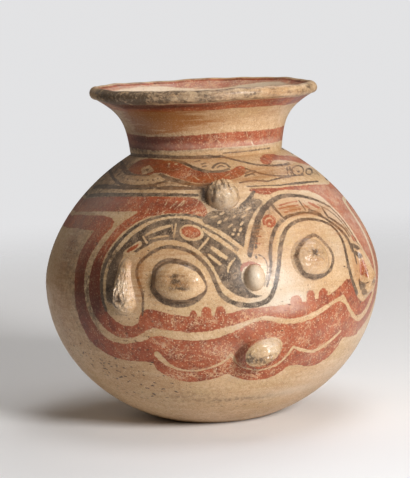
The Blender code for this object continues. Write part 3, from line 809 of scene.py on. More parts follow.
eyeRings = {
    "left": stroke(
        "dark", [3.6, 3.8, 4.0, 3.9, 3.6, 3.2, 2.6, 1.7, 0.9, 1.8, 3.4, 4.2, 4.4, 4.4, 4.2, 3.8, 3.6],
        (153, 281), (155.2, 270.6), (161.6, 263.8), (171, 261), (181, 262), (190.4, 265.4), (198, 270.6),
        (203.4, 278), (206.6, 287), (203.6, 293.4), (195.6, 299.8), (185.3, 303.4), (174.5, 303.4),
        (164.8, 300.4), (157.6, 295), (153.4, 288), (153, 281)),
    "right": stroke(
        "dark", [1.8, 1.9, 2.0, 2.0, 1.9, 1.8, 1.8, 1.8, 2.0, 2.2, 2.4, 2.5, 2.3, 2.0, 1.8],
        (296.2, 255.8), (299.4, 246.6), (305.4, 239.4), (312.4, 235.4), (318.4, 237), (325.6, 244.2),
        (331.2, 251.4), (333.2, 259), (331.2, 267.4), (327, 273), (321.6, 276), (313.4, 277),
        (306.4, 275.2), (300.4, 268.8), (295.6, 255.8)),
}

mouthPaint = {
    "mouthBare": patch(
        "cream", (246.5, 356), (249, 349.5), (254, 345), (261, 341.5), (268, 338.8), (276, 338),
        (281.8, 342), (281.5, 350), (277, 357), (270, 362.5), (260, 366.5), (251, 366.5), (246.5, 362)),
}

scratchEnds = (
    (170, 208, 177, 201), (174, 209, 184, 200.5), (181, 206, 185, 201), (186, 213, 196, 209),
    (190, 216, 200, 212), (165, 205, 168, 199), (158, 214, 166, 210), (196, 205, 199, 200),
    (176, 215, 183, 212), (184, 219, 190, 216.6), (206, 172, 210, 178), (193, 176, 199, 180),
    (226, 176, 230, 172), (246, 131, 247.4, 138), (250, 140, 253, 145), (214, 138, 220, 143),
    (208, 166, 209, 171), (120, 238, 124, 233), (98, 262, 102, 256), (145, 214, 149, 208),
)
scratches = {}
for number, (x0, y0, x1, y1) in enumerate(scratchEnds):
    bow = ((x0 + x1) / 2 + 0.4, (y0 + y1) / 2)
    scratches[f"scratch{number}"] = stroke("cream", 0.55, (x0, y0), bow, (x1, y1))

layerOrder = dict(
    redBands=redBands, creamLines=creamLines, frieze=frieze, foreheadNet=foreheadNet, leftBrow=leftBrow,
    rightBrow=rightBrow, rightSide=rightSide, noseLines=noseLines, eyeRings=eyeRings, mouthPaint=mouthPaint,
    scratches=scratches,
)
brushwork = {f"{group}.{name}": item for group, items in layerOrder.items() for name, item in items.items()}
# how far a group's dark lines have spread
soaked = dict(frieze=1.75, eyeRings=1.2, noseLines=1.15, leftBrow=1.1, rightBrow=1.25)
for name, item in brushwork.items():
    if item["kind"] == "line" and item["slip"] == "dark":
        item["width"] = item["width"] * soaked.get(name.split(".")[0], 1)
print("brushwork:", len(brushwork), "strokes")


def smoothRun(points, closed=False):
    # a smooth run through the points, a step every two pixels or so
    p = np.array(points, float)
    ends = (p[-2], p[1]) if closed else (2 * p[0] - p[1], 2 * p[-1] - p[-2])
    p = np.vstack([ends[0], p, ends[1]])
    run, share = [], []
    for k in range(1, len(p) - 2):
        a, b, c, d = p[k - 1:k + 3]
        count = max(2, int(np.linalg.norm(c - b) / 2) + 1)
        t = np.arange(count)[:, None] / count
        bend = 2 * a - 5 * b + 4 * c - d
        twist = 3 * b - a - 3 * c + d
        run.append(0.5 * (2 * b + (c - a) * t + bend * t ** 2 + twist * t ** 3))
        share.append((k - 1 + t[:, 0]) / (len(p) - 3))
    return np.vstack(run + [p[-2:-1]]), np.r_[np.concatenate(share), 1.0]


missReach = 0.15  # how far before and behind the middle a sight line that misses is followed


def landed(pixels):
    # where sight lines through these pixels meet the jar, as angle and length up the wall
    spots = []
    for pixel in pixels:
        start, way = pixelRay(pixel)
        best = None
        for piece in pieces:
            hit, _, _, far = piece["tree"].ray_cast(start, way)
            if hit is not None and (best is None or far < best[0]):
                best = (far, hit)
        if best is None:
            steps = shot["distance"] + np.linspace(-missReach, missReach, 400)
            trail = np.array(start) + steps[:, None] * np.array(way)
            miss = np.hypot(trail[:, 0], trail[:, 1]) - np.interp(trail[:, 2], line[:, 1], line[:, 0])
            best = (0, trail[np.argmin(miss)])
        spots.append(best[1])
    spots = np.array(spots, float)
    radius = np.hypot(spots[:, 0], spots[:, 1])
    gap = (line[None, :, 0] - radius[:, None]) ** 2 + (line[None, :, 1] - spots[:, 2:3]) ** 2
    return np.arctan2(spots[:, 0], -spots[:, 1]), along[np.argmin(gap, axis=1)]


deep = 2.5 * mm  # cover is only worked out this far from a stroke's edge
runPart = 20  # pieces of a run that are worked out together


def coverOf(item, angle, length, radius):
    # half width minus distance to the run, the most over its parts
    best = np.full(len(angle), -deep)
    for first in range(0, len(item["angle"]) - 1, runPart):
        part = slice(first, first + runPart + 1)
        runAngle, runLength, half = (item[k][part] for k in ("angle", "length", "half"))
        reach = deep + half.max()
        near = (length > runLength.min() - reach) & (length < runLength.max() + reach)
        near &= ((angle - runAngle.max()) * radius < reach) & ((runAngle.min() - angle) * radius < reach)
        picked = np.nonzero(near)[0]
        if not len(picked):
            continue
        r = radius[picked, None]
        x0 = (runAngle[None, :-1] - angle[picked, None]) * r
        y0 = runLength[None, :-1] - length[picked, None]
        dx, dy = np.diff(runAngle)[None] * r, np.diff(runLength)[None]
        t = np.clip(-(x0 * dx + y0 * dy) / (dx * dx + dy * dy + 1e-18), 0, 1)
        cover = half[None, :-1] + t * np.diff(half)[None] - np.hypot(x0 + t * dx, y0 + t * dy)
        best[picked] = np.maximum(best[picked], cover.max(axis=1))
    return best


def insideOf(runAngle, runLength, angle, length):
    inside = np.zeros(len(angle), bool)
    box = (angle > runAngle.min()) & (angle < runAngle.max())
    box &= (length > runLength.min()) & (length < runLength.max())
    picked = np.nonzero(box)[0]
    for part in np.array_split(picked, max(1, len(picked) * len(runAngle) // 2_000_000 + 1)):
        y0, y1 = runLength[None, :-1], runLength[None, 1:]
        x0, x1 = runAngle[None, :-1], runAngle[None, 1:]
        y = length[part, None]
        crosses = (y0 > y) != (y1 > y)
        at = x0 + (y - y0) / np.where(y1 == y0, 1e-12, y1 - y0) * (x1 - x0)
        inside[part] = (crosses & (angle[part, None] < at)).sum(axis=1) % 2 == 1
    return inside


def layStroke(item):
    if item["kind"] == "line":
        run, share = smoothRun(item["points"])
        widths = item["width"]
        item["half"] = np.interp(share, np.linspace(0, 1, len(widths)), widths) / 2
    else:
        closed = len(item["sides"]) == 1
        run = np.vstack([smoothRun(side, closed)[0] for side in item["sides"]])
        run = np.vstack([run, run[:1]])
        item["half"] = np.zeros(len(run))
    if item.get("byWall"):
        item["angle"], item["length"] = np.radians(run[:, 0]), lengthAt(run[:, 1] * mm)
    else:
        item["angle"], item["length"] = landed(run)


for item in brushwork.values():
    layStroke(item)
friezeBehind = [dict(item, angle=item["angle"] + math.pi) for item in frieze.values()]
for item in (redBands["serpentBody"], redBands["shoulderPatch"]):
    friezeBehind.append(dict(item, angle=item["angle"] + math.pi))
print("strokes laid on the wall")


# Bands right round, by the pixel where each edge crosses the front, and bands behind, in millimetres up

rings = {
    "neckUpper": dict(slip="red", top=(205, 103.4), foot=(205, 110.8)),
    "neckLower": dict(slip="red", top=(205, 134.6), foot=(205, 149)),
}
backBands = {
    "headBand": dict(slip="red", left=(154.3, 146.3), right=(156.5, 147.5)),
    "secondBand": dict(slip="red", left=(143.4, 136.0), right=(144.2, 136.8)),
    "friezeFoot": dict(slip="dark", left=(157.4, 156.0), right=(159.6, 158.4)),
}
backReach = (math.radians(70), math.radians(270))
mouthBand = dict(deep=4 * mm, waves=((2, 2.2, 0, 0.45), (5, 0, 0, 0.35)))
ringSway = dict(size=0.6 * mm, waves=((2, 0.6, 0, 1), (5, 1.9, 0, 0.6)), footShare=0.7)
backSway = dict(size=0.35 * mm, waves=((5, 0, 0, 1), (11, 1, 0, 1)))
lipRed = 2.2 * mm  # red ends this far inside the lip's middle


def ringCover(ring, angle, length):
    (_, top), (_, foot) = (landed([ring[k]]) for k in ("top", "foot"))
    sway = ringSway["size"] * waves(ringSway["waves"], angle)
    return np.minimum(top[0] + sway - length, length - foot[0] - ringSway["footShare"] * sway)


def backCover(item, turned, length, radius):
    start, end = backReach
    share = np.clip((turned - start) / (end - start), 0, 1)
    share = share * share * (3 - 2 * share)
    edges = [lengthAt((r + (l - r) * share) * mm) for l, r in zip(item["left"], item["right"])]
    sway = backSway["size"] * waves(backSway["waves"], turned)
    sides = np.minimum(turned - start, end - turned) * radius
    return np.minimum(np.minimum(edges[0] + sway - length, length - edges[1] + sway), sides)


def layers(piece):
    angle, length = piece["angle"], piece["length"]
    radius = np.hypot(piece["spot"][:, 0], piece["spot"][:, 1])
    red, dark, tan = (np.full(len(angle), -deep) for _ in range(3))

    def lay(slip, cover):
        nonlocal red, dark, tan
        if slip == "red":
            red, dark = np.maximum(red, cover), np.minimum(dark, -cover)
        elif slip == "dark":
            dark = np.maximum(dark, cover)
        else:
            red, dark = np.minimum(red, -cover), np.minimum(dark, -cover)
            tan = np.maximum(tan, cover) if slip == "tan" else np.minimum(tan, -cover)

    def layItem(item, at):
        cover = coverOf(item, at, length, radius)
        if item["kind"] == "area":
            inside = insideOf(item["angle"], item["length"], at, length)
            cover = np.where(inside, -cover, cover)
        lay(item["slip"], cover)

    turned = np.where(angle < 0, angle + math.tau, angle)
    for item in backBands.values():
        lay(item["slip"], backCover(item, turned, length, radius))
    for item in friezeBehind:
        layItem(item, turned)
    for ring in rings.values():
        lay(ring["slip"], ringCover(ring, angle, length))
    for item in brushwork.values():
        layItem(item, angle)
    hidden = ~piece["outside"]
    red[hidden], dark[hidden], tan[hidden] = -deep, -deep, -deep
    if piece["node"] == "rim_lip":
        red, dark = lipCentre[0] - lipRed - radius, np.full(len(radius), -deep)
    if piece["node"] == "brow_knob":
        red = np.full(len(radius), -deep)
    if piece["node"] == "neck_collar":
        uneven = 1 + waves(mouthBand["waves"], angle)
        red = np.where(hidden, mouthBand["deep"] * uneven - (rimTop - piece["spot"][:, 2]), red)
    return [np.clip(cover, -deep, deep) / mm for cover in (red, dark, tan)]


# Rubbed places, faded places and painted sheen, smoked places and painted shade, stained and pocked places:
# pixel, reach across and down in pixels, strength

rubbedSpots = [
    ((255, 312), (18, 9), 0.6), ((250, 326), (20, 8), 0.5), ((220, 352), (26, 10), 0.5),
    ((200, 350), (30, 8), 0.3), ((205, 145), (80, 3), 0.4), ((330, 325), (24, 12), 0.4),
    ((310, 357), (18, 7), 0.3), ((125, 356), (14, 6), 0.3), ((200, 213), (14, 4), 0.6),
    ((230, 366), (12, 6), 0.6), ((190, 322), (40, 6), 0.7), ((190, 174), (30, 5), 0.3),
    ((315, 256), (24, 24), 0.5), ((285, 225), (14, 20), 0.4), ((112, 107), (10, 4), 1.0),
    ((180, 376), (30, 6), 0.6), ((215, 374), (30, 6), 0.7), ((252, 376), (24, 6), 0.8),
    ((165, 344), (20, 6), 0.3), ((110, 84), (40, 4), 1.0), ((122, 300), (12, 12), 1.4),
    ((122, 275), (7, 16), 0.8), ((222, 195), (18, 12), 0.8), ((272, 345), (9, 7), 1.3),
    ((300, 340), (30, 10), 0.3), ((244, 210), (14, 9), 1.0), ((175, 350), (22, 7), 0.3),
]
# faded slip, and painted sheen and highlight: the right limb, the cheek right of the nose, the nose, the
# mouth, the lip's top edge and the neck's foot, with painted bounce light on the lower right belly
fadedAndSheenSpots = [
    ((332, 196), (26, 12), 1.0), ((352, 216), (18, 18), 1.0), ((368, 245), (10, 26), 0.9),
    ((314, 188), (18, 6), 0.6), ((290, 158), (16, 6), 0.9), ((308, 164), (12, 6), 1.1),
    ((275, 304), (30, 9), 1.1), ((205, 146), (80, 3), 0.8), ((262, 143), (26, 3), 0.8),
    ((296, 298), (9, 6), 0.9), ((285, 311), (22, 5), 0.6), ((362, 330), (12, 16), 0.6),
    ((330, 330), (24, 10), 0.3), ((225, 350), (24, 9), 0.4), ((250, 327), (18, 7), 0.5),
    ((280, 282), (24, 18), 0.9), ((338, 252), (8, 16), 0.45), ((226, 197), (12, 9), 0.5),
    ((290, 392), (30, 9), 0.7), ((325, 372), (24, 16), 0.4), ((254, 275), (10, 13), 0.9),
    ((272, 344), (9, 6), 0.8), ((200, 92), (60, 5), 0.3), ((120, 290), (8, 18), 0.7),
    ((100, 200), (30, 6), 0.35), ((85, 205), (20, 10), 0.4), ((310, 358), (16, 7), 0.35),
]
# smoke and soot, and painted shade: the jar's shaded left side and neck, the shade under the lip, and the
# knob's and the nose's shaded left sides
smokedAndShadedSpots = [
    ((110, 99), (16, 2.2), 0.9), ((150, 102.4), (24, 1.2), 0.4), ((190, 101.8), (24, 1.0), 0.3),
    ((225, 99.5), (20, 1.0), 0.25), ((178.5, 282.5), (11, 6.5), 0.45), ((174, 277), (3, 2.2), 0.6),
    ((181, 288.5), (8, 1.6), 0.8), ((177, 281), (2.4, 2), 0.7), ((218, 192), (9, 10), 0.35),
    ((262, 359.5), (13, 3.6), 0.5), ((246, 350), (6, 10), 0.5), ((80, 285), (8, 40), 0.5),
    ((96, 285), (6, 30), 0.7), ((135, 107), (14, 3), 0.5), ((140, 163), (14, 5), 0.4),
    ((113, 257), (7, 14), 0.4), ((155, 107), (34, 3), 0.55), ((160, 139), (18, 4), 0.5),
    ((104, 96), (8, 3), 0.9), ((138, 97.5), (8, 2.6), 1.0), ((118, 95), (22, 5), 0.35),
    ((160, 95), (8, 1.2), 0.25), ((178, 97), (6, 1.2), 0.25), ((205, 92.5), (10, 1.0), 0.3),
    ((250, 90), (14, 1.0), 0.3), ((205, 104.5), (50, 1.2), 0.1), ((150, 106), (30, 3), 0.5),
    ((130, 107), (12, 4), 0.7), ((150, 140), (16, 4), 1.0), ((135, 138), (12, 6), 0.6),
    ((95, 290), (5, 26), 0.9), ((113, 262), (5, 12), 0.6), ((122, 250), (8, 6), 0.6),
    ((109, 280), (3, 20), 0.6), ((266, 209), (7, 6), 1.0), ((258, 224), (4, 10), 0.4),
    ((271, 262), (2.5, 16), 0.5), ((232, 222), (18, 14), 0.3), ((165, 184), (14, 3), 0.5),
    ((180, 205), (22, 4), 0.6), ((307, 88), (7, 4), 0.4), ((180, 139), (16, 4), 0.5),
    ((313, 252), (5, 4), 0.5), ((262, 363), (14, 3.5), 0.35), ((250, 360), (5, 6), 0.25),
    ((122, 105), (16, 4), 0.9), ((150, 106), (22, 3.5), 0.6), ((200, 106), (70, 2.4), 0.45),
    ((130, 107), (14, 3), 0.6), ((112, 168), (26, 18), 0.95), ((92, 186), (26, 12), 0.95),
    ((122, 166), (6, 8), 0.5), ((100, 205), (34, 8), 0.4), ((240, 399), (40, 4), 0.5),
    ((185, 396), (30, 8), 0.25), ((140, 149), (18, 3.5), 1.1), ((160, 146), (30, 3), 0.6),
    ((248, 358), (8, 6), 0.5), ((205, 194), (3.5, 9), 1.4), ((215, 149.6), (50, 1.2), 0.5),
    ((150, 188), (40, 3), 0.35), ((73, 250), (9, 40), 0.55), ((62, 330), (16, 30), 0.2),
    ((242, 278), (2, 8), 0.3), ((225, 186), (30, 3), 0.4), ((280, 172), (30, 4), 0.25),
    ((289, 170), (5, 5), 0.4), ((313, 173), (9, 5), 0.4), ((155, 172), (16, 4), 0.3),
    ((85, 290), (12, 46), 0.6), ((130, 330), (16, 6), 0.25),
]
stainedSpots = [
    ((178, 254), (22, 5), 0.35), ((60, 300), (14, 50), 0.45), ((72, 245), (8, 24), 0.7),
    ((155, 119), (24, 9), 2.2), ((190, 121), (24, 8), 1.3), ((225, 119), (24, 7), 0.22),
    ((178.5, 282.5), (9, 5.5), 0.35), ((138, 118), (16, 10), 1.8), ((150, 131), (24, 4), 1.5),
    ((165, 112), (40, 3), 0.8), ((240, 157), (20, 5), 0.5), ((265, 112), (20, 8), 0.3),
    ((258, 238), (5, 16), 0.2), ((288, 208), (14, 6), 0.5), ((120, 370), (50, 16), 0.12),
    ((170, 275), (44, 34), 0.20), ((305, 238), (40, 30), 0.27), ((317, 256), (10, 10), 0.35),
    ((139.5, 285), (3.5, 26), 0.6), ((131, 292), (4, 22), 0.2), ((200, 185), (60, 8), 0.6),
    ((270, 172), (40, 9), 0.6), ((130, 172), (34, 16), 0.45), ((310, 209), (24, 7), 0.55),
    ((342, 228), (10, 12), 0.4), ((262, 235), (6, 14), 0.35), ((362, 275), (8, 18), 0.2),
    ((180, 160), (40, 6), 0.4), ((280, 92), (24, 4), 0.25), ((210, 96), (50, 5), 0.15),
    ((125, 270), (10, 20), 0.35),
]
pockedSpots = [
    ((150, 392), (40, 16), 1.0), ((110, 370), (30, 20), 0.7), ((75, 340), (20, 30), 0.6),
    ((230, 405), (30, 6), 0.6),
]
marks = dict(rubbed=rubbedSpots, faded=fadedAndSheenSpots, smoked=smokedAndShadedSpots, stained=stainedSpots)
marks["pocked"] = pockedSpots
leastFacing = 0.35  # how far a place may be stretched where the wall turns away


def smudge(piece, spots):
    total = np.zeros(len(piece["angle"]))
    radius = np.hypot(piece["spot"][:, 0], piece["spot"][:, 1])
    pixelsPerMetre = shot["focalPixels"] / shot["distance"]
    for pixel, reach, strength in spots:
        angle, length = landed([pixel])
        facing = max(leastFacing, math.cos(angle[0] - math.radians(shot["azimuth"])))
        across = (piece["angle"] - angle[0]) * radius * pixelsPerMetre * facing / reach[0]
        down = (piece["length"] - length[0]) * pixelsPerMetre / reach[1]
        total += strength * np.exp(-across ** 2 - down ** 2)
    return np.where(piece["outside"], total, 0)


# Shader maths: a wrapped socket that takes Python's operators

class Value:
    def __init__(self, recipe, socket):
        self.recipe, self.socket = recipe, socket

    def sum(self, operation, other, turned=False, **more):
        first, second = (other, self) if turned else (self, other)
        return self.recipe.node("ShaderNodeMath", dict(operation=operation, **more), {0: first, 1: second})

    def __add__(self, other):
        return self.sum("ADD", other)

    def __radd__(self, other):
        return self.sum("ADD", other, True)

    def __sub__(self, other):
        return self.sum("SUBTRACT", other)

    def __rsub__(self, other):
        return self.sum("SUBTRACT", other, True)

    def __mul__(self, other):
        return self.sum("MULTIPLY", other)

    def __rmul__(self, other):
        return self.sum("MULTIPLY", other, True)

    def clamped(self):
        return self.sum("MULTIPLY", 1.0, use_clamp=True)

    def larger(self, other):
        return self.sum("MAXIMUM", other)

    def between(self, low, high):
        sockets = {"Value": self, "From Min": low, "From Max": high}
        return self.recipe.node("ShaderNodeMapRange", dict(interpolation_type="SMOOTHSTEP"), sockets)


class Recipe:
    def __init__(self, owner):
        owner.use_nodes = True
        self.owner, self.tree = owner, owner.node_tree
        self.tree.nodes.clear()

    def node(self, kind, settings, sockets, out=0):
        node = self.tree.nodes.new(kind)
        for name, value in settings.items():
            setattr(node, name, value)
        for name, value in sockets.items():
            if isinstance(value, Value):
                self.tree.links.new(value.socket, node.inputs[name])
            else:
                node.inputs[name].default_value = value
        return Value(self, node.outputs[out]) if node.outputs else node

    def attribute(self, name):
        return self.node("ShaderNodeAttribute", dict(attribute_name=name), {}, 2)

    def mapped(self, size, stretch=(1, 1, 1), warp=0.0, warpSize=0.01, turn=(0, 0, 0)):
        place = self.node("ShaderNodeTexCoord", {}, {}, 3)
        if warp:
            sockets = {"Vector": place, "Scale": 1 / warpSize, "Detail": 1.0}
            swirl = self.node("ShaderNodeTexNoise", {}, sockets, 1)
            shift = dict(operation="MULTIPLY_ADD")
            sockets = {0: swirl, 1: (warp,) * 3, 2: place}
            place = self.node("ShaderNodeVectorMath", shift, sockets)
        sockets = {"Vector": place, "Rotation": turn, "Scale": tuple(size / s for s in stretch)}
        return self.node("ShaderNodeMapping", dict(vector_type="TEXTURE"), sockets)

    def grain(self, size, detail=3.0, rough=0.55, **place):
        sockets = {"Vector": self.mapped(size, **place), "Scale": 1.0, "Detail": detail, "Roughness": rough}
        return self.node("ShaderNodeTexNoise", {}, sockets)

    def cells(self, size, feature="F1", **place):
        sockets = {"Vector": self.mapped(size, **place), "Scale": 1.0}
        return self.node("ShaderNodeTexVoronoi", dict(feature=feature), sockets)

    def dots(self, size, **place):
        # distance to the nearest dot's middle, and a number of that dot's own
        sockets = {"Vector": self.mapped(size, **place), "Scale": 1.0}
        near = self.node("ShaderNodeTexVoronoi", {}, sockets)
        colour = Value(self, near.socket.node.outputs["Color"])
        return near, self.node("ShaderNodeSeparateColor", {}, {0: colour})

    def tint(self, share, first, second):
        settings = dict(data_type="RGBA", clamp_factor=True)
        return self.node("ShaderNodeMix", settings, {0: share, 6: first, 7: second}, 2)

    def finish(self, colour, roughness, normal):
        sockets = {"Base Color": colour, "Roughness": roughness, "Normal": normal}
        sockets["Specular IOR Level"] = clayGloss["specular"]
        shader = self.node("ShaderNodeBsdfPrincipled", {}, sockets)
        self.node("ShaderNodeOutputMaterial", {}, {"Surface": shader})
        return self.owner


clayFinish = dict(
    cream=(0.625, 0.410, 0.222, 1),
    creamDeep=(0.455, 0.255, 0.112, 1),
    creamPale=(0.745, 0.560, 0.365, 1),
    olive=(0.500, 0.350, 0.160, 1),
    tan=(0.460, 0.235, 0.100, 1),
    red=(0.335, 0.073, 0.027, 1),
    redDeep=(0.110, 0.015, 0.005, 1),
    redBright=(0.455, 0.121, 0.046, 1),
    redHazeAndSheen=(0.550, 0.315, 0.235, 1),
    dark=(0.040, 0.028, 0.020, 1),
    darkFaded=(0.150, 0.105, 0.073, 1),
    smokeAndShade=(0.062, 0.037, 0.021, 1),
    stain=(0.300, 0.098, 0.013, 1),
    pit=(0.075, 0.036, 0.016, 1),
    dust=(0.740, 0.600, 0.460, 1),
    bloomAndSheen=(0.680, 0.570, 0.445, 1),
    grime=(0.230, 0.140, 0.075, 1),
    flake=(0.650, 0.375, 0.200, 1),
)


clayGloss = dict(rough=0.36, specular=0.38, polish=0.55, bump=0.7, bumpHeight=0.4 * mm)


class ClayField:
    # what colour, gloss and relief are mixed from: the painted marks, and noises of several sizes
    def __init__(self, clay):
        slips = ("redSlip", "darkSlip", "tanSlip")
        self.red, self.dark, self.tan = (clay.attribute(slip) for slip in slips)
        for mark in ("rubbed", "faded", "smoked", "stained", "polished", "pocked"):
            setattr(self, mark, clay.attribute(mark))
        self.broad = clay.grain(0.050, 3.0, 0.5)
        self.drift = clay.grain(0.030, 2.0, 0.5, stretch=(1.0, 1.0, 1.6))
        self.cloud = clay.grain(0.016, 4.0, 0.6)
        self.patchy = clay.grain(0.0055, 4.0, 0.6)
        self.fine = clay.grain(0.0024, 3.0, 0.65)
        self.grit = clay.grain(0.0011, 2.0, 0.6)
        self.speck = clay.grain(0.00075, 2.0, 0.7)
        self.wiped = clay.grain(0.009, 3.0, 0.6, stretch=(0.3, 0.3, 3.0))
        self.streaks = clay.grain(0.0040, 3.0, 0.65, stretch=(0.22, 0.22, 2.4))
        self.dots, self.dotPick = clay.dots(0.0014, warp=0.0012, warpSize=0.0018)
        tall = dict(stretch=(1.0, 1.0, 1.6), warp=0.003, warpSize=0.003)
        self.flecks, self.fleckPick = clay.dots(0.0031, **tall)
        self.worms = clay.cells(0.0032, "DISTANCE_TO_EDGE", warp=0.005, warpSize=0.0024)
        upright = dict(stretch=(1.0, 1.0, 0.4), warp=0.010, warpSize=0.007)
        self.scratch = clay.cells(0.0095, "DISTANCE_TO_EDGE", **upright)
        self.hairs = clay.grain(0.0010, 1.0, 0.5, stretch=(1.0, 1.0, 0.05), turn=(0, 0.45, 0))
        self.moreHairs = clay.grain(0.0011, 1.0, 0.5, stretch=(1.0, 1.0, 0.06), turn=(0, -0.6, 0.3))
        self.pitted = clay.cells(0.0048, stretch=(1.0, 1.0, 1.9), warp=0.003, warpSize=0.004)


def buffGround(clay, field):
    # wiped, mottled and speckled, with a pale bloom that is partly painted sheen; the grime dots are also
    # wanted for the relief
    tone = clayFinish
    ground = clay.tint(field.broad.between(0.35, 0.65) * 0.6, tone["cream"], tone["creamDeep"])
    ground = clay.tint(field.drift.between(0.46, 0.64) * 0.40, ground, tone["olive"])
    ground = clay.tint(field.wiped.between(0.40, 0.75) * 0.45, ground, tone["creamPale"])
    ground = clay.tint(field.cloud.between(0.46, 0.76) * 0.50, ground, tone["creamDeep"])
    ground = clay.tint(field.patchy.between(0.50, 0.78) * 0.45, ground, tone["creamDeep"])
    ground = clay.tint(field.fine.between(0.44, 0.64) * 0.62, ground, tone["creamDeep"])
    ground = clay.tint(field.grit.between(0.52, 0.68) * 0.45, ground, tone["creamPale"])
    tanShare = field.tan.between(-0.3, 0.3) * (0.30 + field.cloud.between(0.35, 0.7) * 0.5)
    ground = clay.tint(tanShare, ground, tone["tan"])
    grime = (1 - field.dots.between(0.18, 0.42)) * field.dotPick.between(0.62, 0.80)
    grime = grime * (0.35 + field.cloud.between(0.40, 0.62) * 0.65)
    ground = clay.tint(grime * 0.60, ground, tone["grime"])
    bare = (field.rubbed * field.fine.between(0.46, 0.60)).clamped()
    ground = clay.tint(bare * 0.55, ground, tone["dust"])
    bloomAndSheen = (field.faded * (0.45 + field.cloud.between(0.3, 0.7) * 0.4)).clamped()
    return clay.tint(bloomAndSheen, ground, tone["bloomAndSheen"]), grime


def slipMasks(field):
    # red and dark slip with ragged edges
    ragged = (field.fine - 0.5) * 1.5 + (field.patchy - 0.5) * 1.3
    return (field.red + ragged).between(-0.40, 0.40), (field.dark + ragged * 0.9).between(-0.44, 0.36)


def slipWear(field):
    # where the slip has flaked: dots, worm tracks and scratches down to the ground
    lost = 0.22 + field.rubbed * 0.24 + (field.cloud - 0.5) * 0.6
    flaked = (1 - field.dots.between(0.22, 0.48)) * (field.dotPick + lost - 0.5).between(0.36, 0.54)
    chipped = (1 - field.flecks.between(0.14, 0.34)) * (field.fleckPick + lost - 0.5).between(0.54, 0.72)
    tracks = (1 - field.worms.between(0.04, 0.13)) * (field.patchy + lost - 0.4).between(0.36, 0.56)
    scrapes = (1 - field.scratch.between(0.008, 0.024)) * field.patchy.between(0.44, 0.60)
    hairlines = field.hairs.between(0.66, 0.74).larger(field.moreHairs.between(0.66, 0.74))
    hairlines = hairlines * field.cloud.between(0.46, 0.60)
    wear = flaked.larger(chipped).larger(tracks * 0.85).larger(scrapes * 0.7)
    wear = wear.larger(field.grit.between(0.58, 0.72) * 0.7).larger(hairlines * 0.9)
    return (wear * (0.72 + field.rubbed * 0.4) * (1 - field.smoked.clamped() * 0.65)).clamped()


def slipTones(clay, field):
    tone = clayFinish
    red = clay.tint(field.patchy.between(0.40, 0.66) * 0.60, tone["red"], tone["redDeep"])
    red = clay.tint(field.cloud.between(0.42, 0.66) * 0.65, red, tone["redBright"])
    red = clay.tint(field.fine.between(0.50, 0.68) * 0.42, red, tone["redDeep"])
    # red deepens where smoked, and where shade is painted
    red = clay.tint(field.smoked.clamped() * 0.95, red, tone["redDeep"])
    # red pales where faded, and where sheen is painted
    hazeAndSheen = (field.faded * (0.35 + field.patchy.between(0.3, 0.7) * 0.5)).clamped()
    red = clay.tint(hazeAndSheen, red, tone["redHazeAndSheen"])
    dark = clay.tint(field.patchy.between(0.36, 0.64), tone["dark"], tone["darkFaded"])
    worn = (field.rubbed * 0.5 + field.grit.between(0.48, 0.64) * 0.6).clamped()
    return red, clay.tint(worn, dark, tone["darkFaded"])


def pitsAndCracks(field):
    pits = field.broad.between(0.50, 0.66) * field.patchy.between(0.42, 0.58)
    pits = (pits + field.pocked * field.patchy.between(0.30, 0.50)).clamped()
    pitMask = (1 - (field.pitted - field.pocked * 0.11).between(0.11, 0.22)) * pits
    return pitMask, (1 - field.worms.between(0.02, 0.08)) * field.rubbed.between(1.1, 1.7)


def soiled(clay, field, colour, masks):
    # stains, soot and painted shade, pits, cracks and dust over ground and slip alike
    tone = clayFinish
    stain = (field.stained * (0.30 + field.streaks.between(0.32, 0.66) * 0.85)).clamped()
    colour = clay.tint(stain * 0.92, colour, tone["stain"])
    sootAndShadeMottle = field.patchy.between(0.36, 0.62) * 0.55 + field.fine.between(0.42, 0.60) * 0.55
    sootAndShade = (field.smoked * (0.15 + sootAndShadeMottle)).clamped()
    colour = clay.tint(sootAndShade * (0.88 - masks["red"] * 0.62), colour, tone["smokeAndShade"])
    colour = clay.tint(masks["pits"] * 0.85, colour, tone["pit"])
    colour = clay.tint(masks["cracks"] * 0.6, colour, tone["grime"])
    dusty = field.grit.between(0.62, 0.74) * field.cloud.between(0.46, 0.64) * 0.28
    colour = clay.tint(dusty, colour, tone["dust"])
    darkSpecks = field.speck.between(0.52, 0.70) * (0.34 - masks["dark"] * 0.24)
    colour = clay.tint(darkSpecks, colour, tone["grime"])
    paleShare = (0.24 - (masks["red"] + masks["dark"]) * 0.22).clamped()
    return clay.tint((1 - field.speck.between(0.32, 0.48)) * paleShare, colour, tone["dust"])


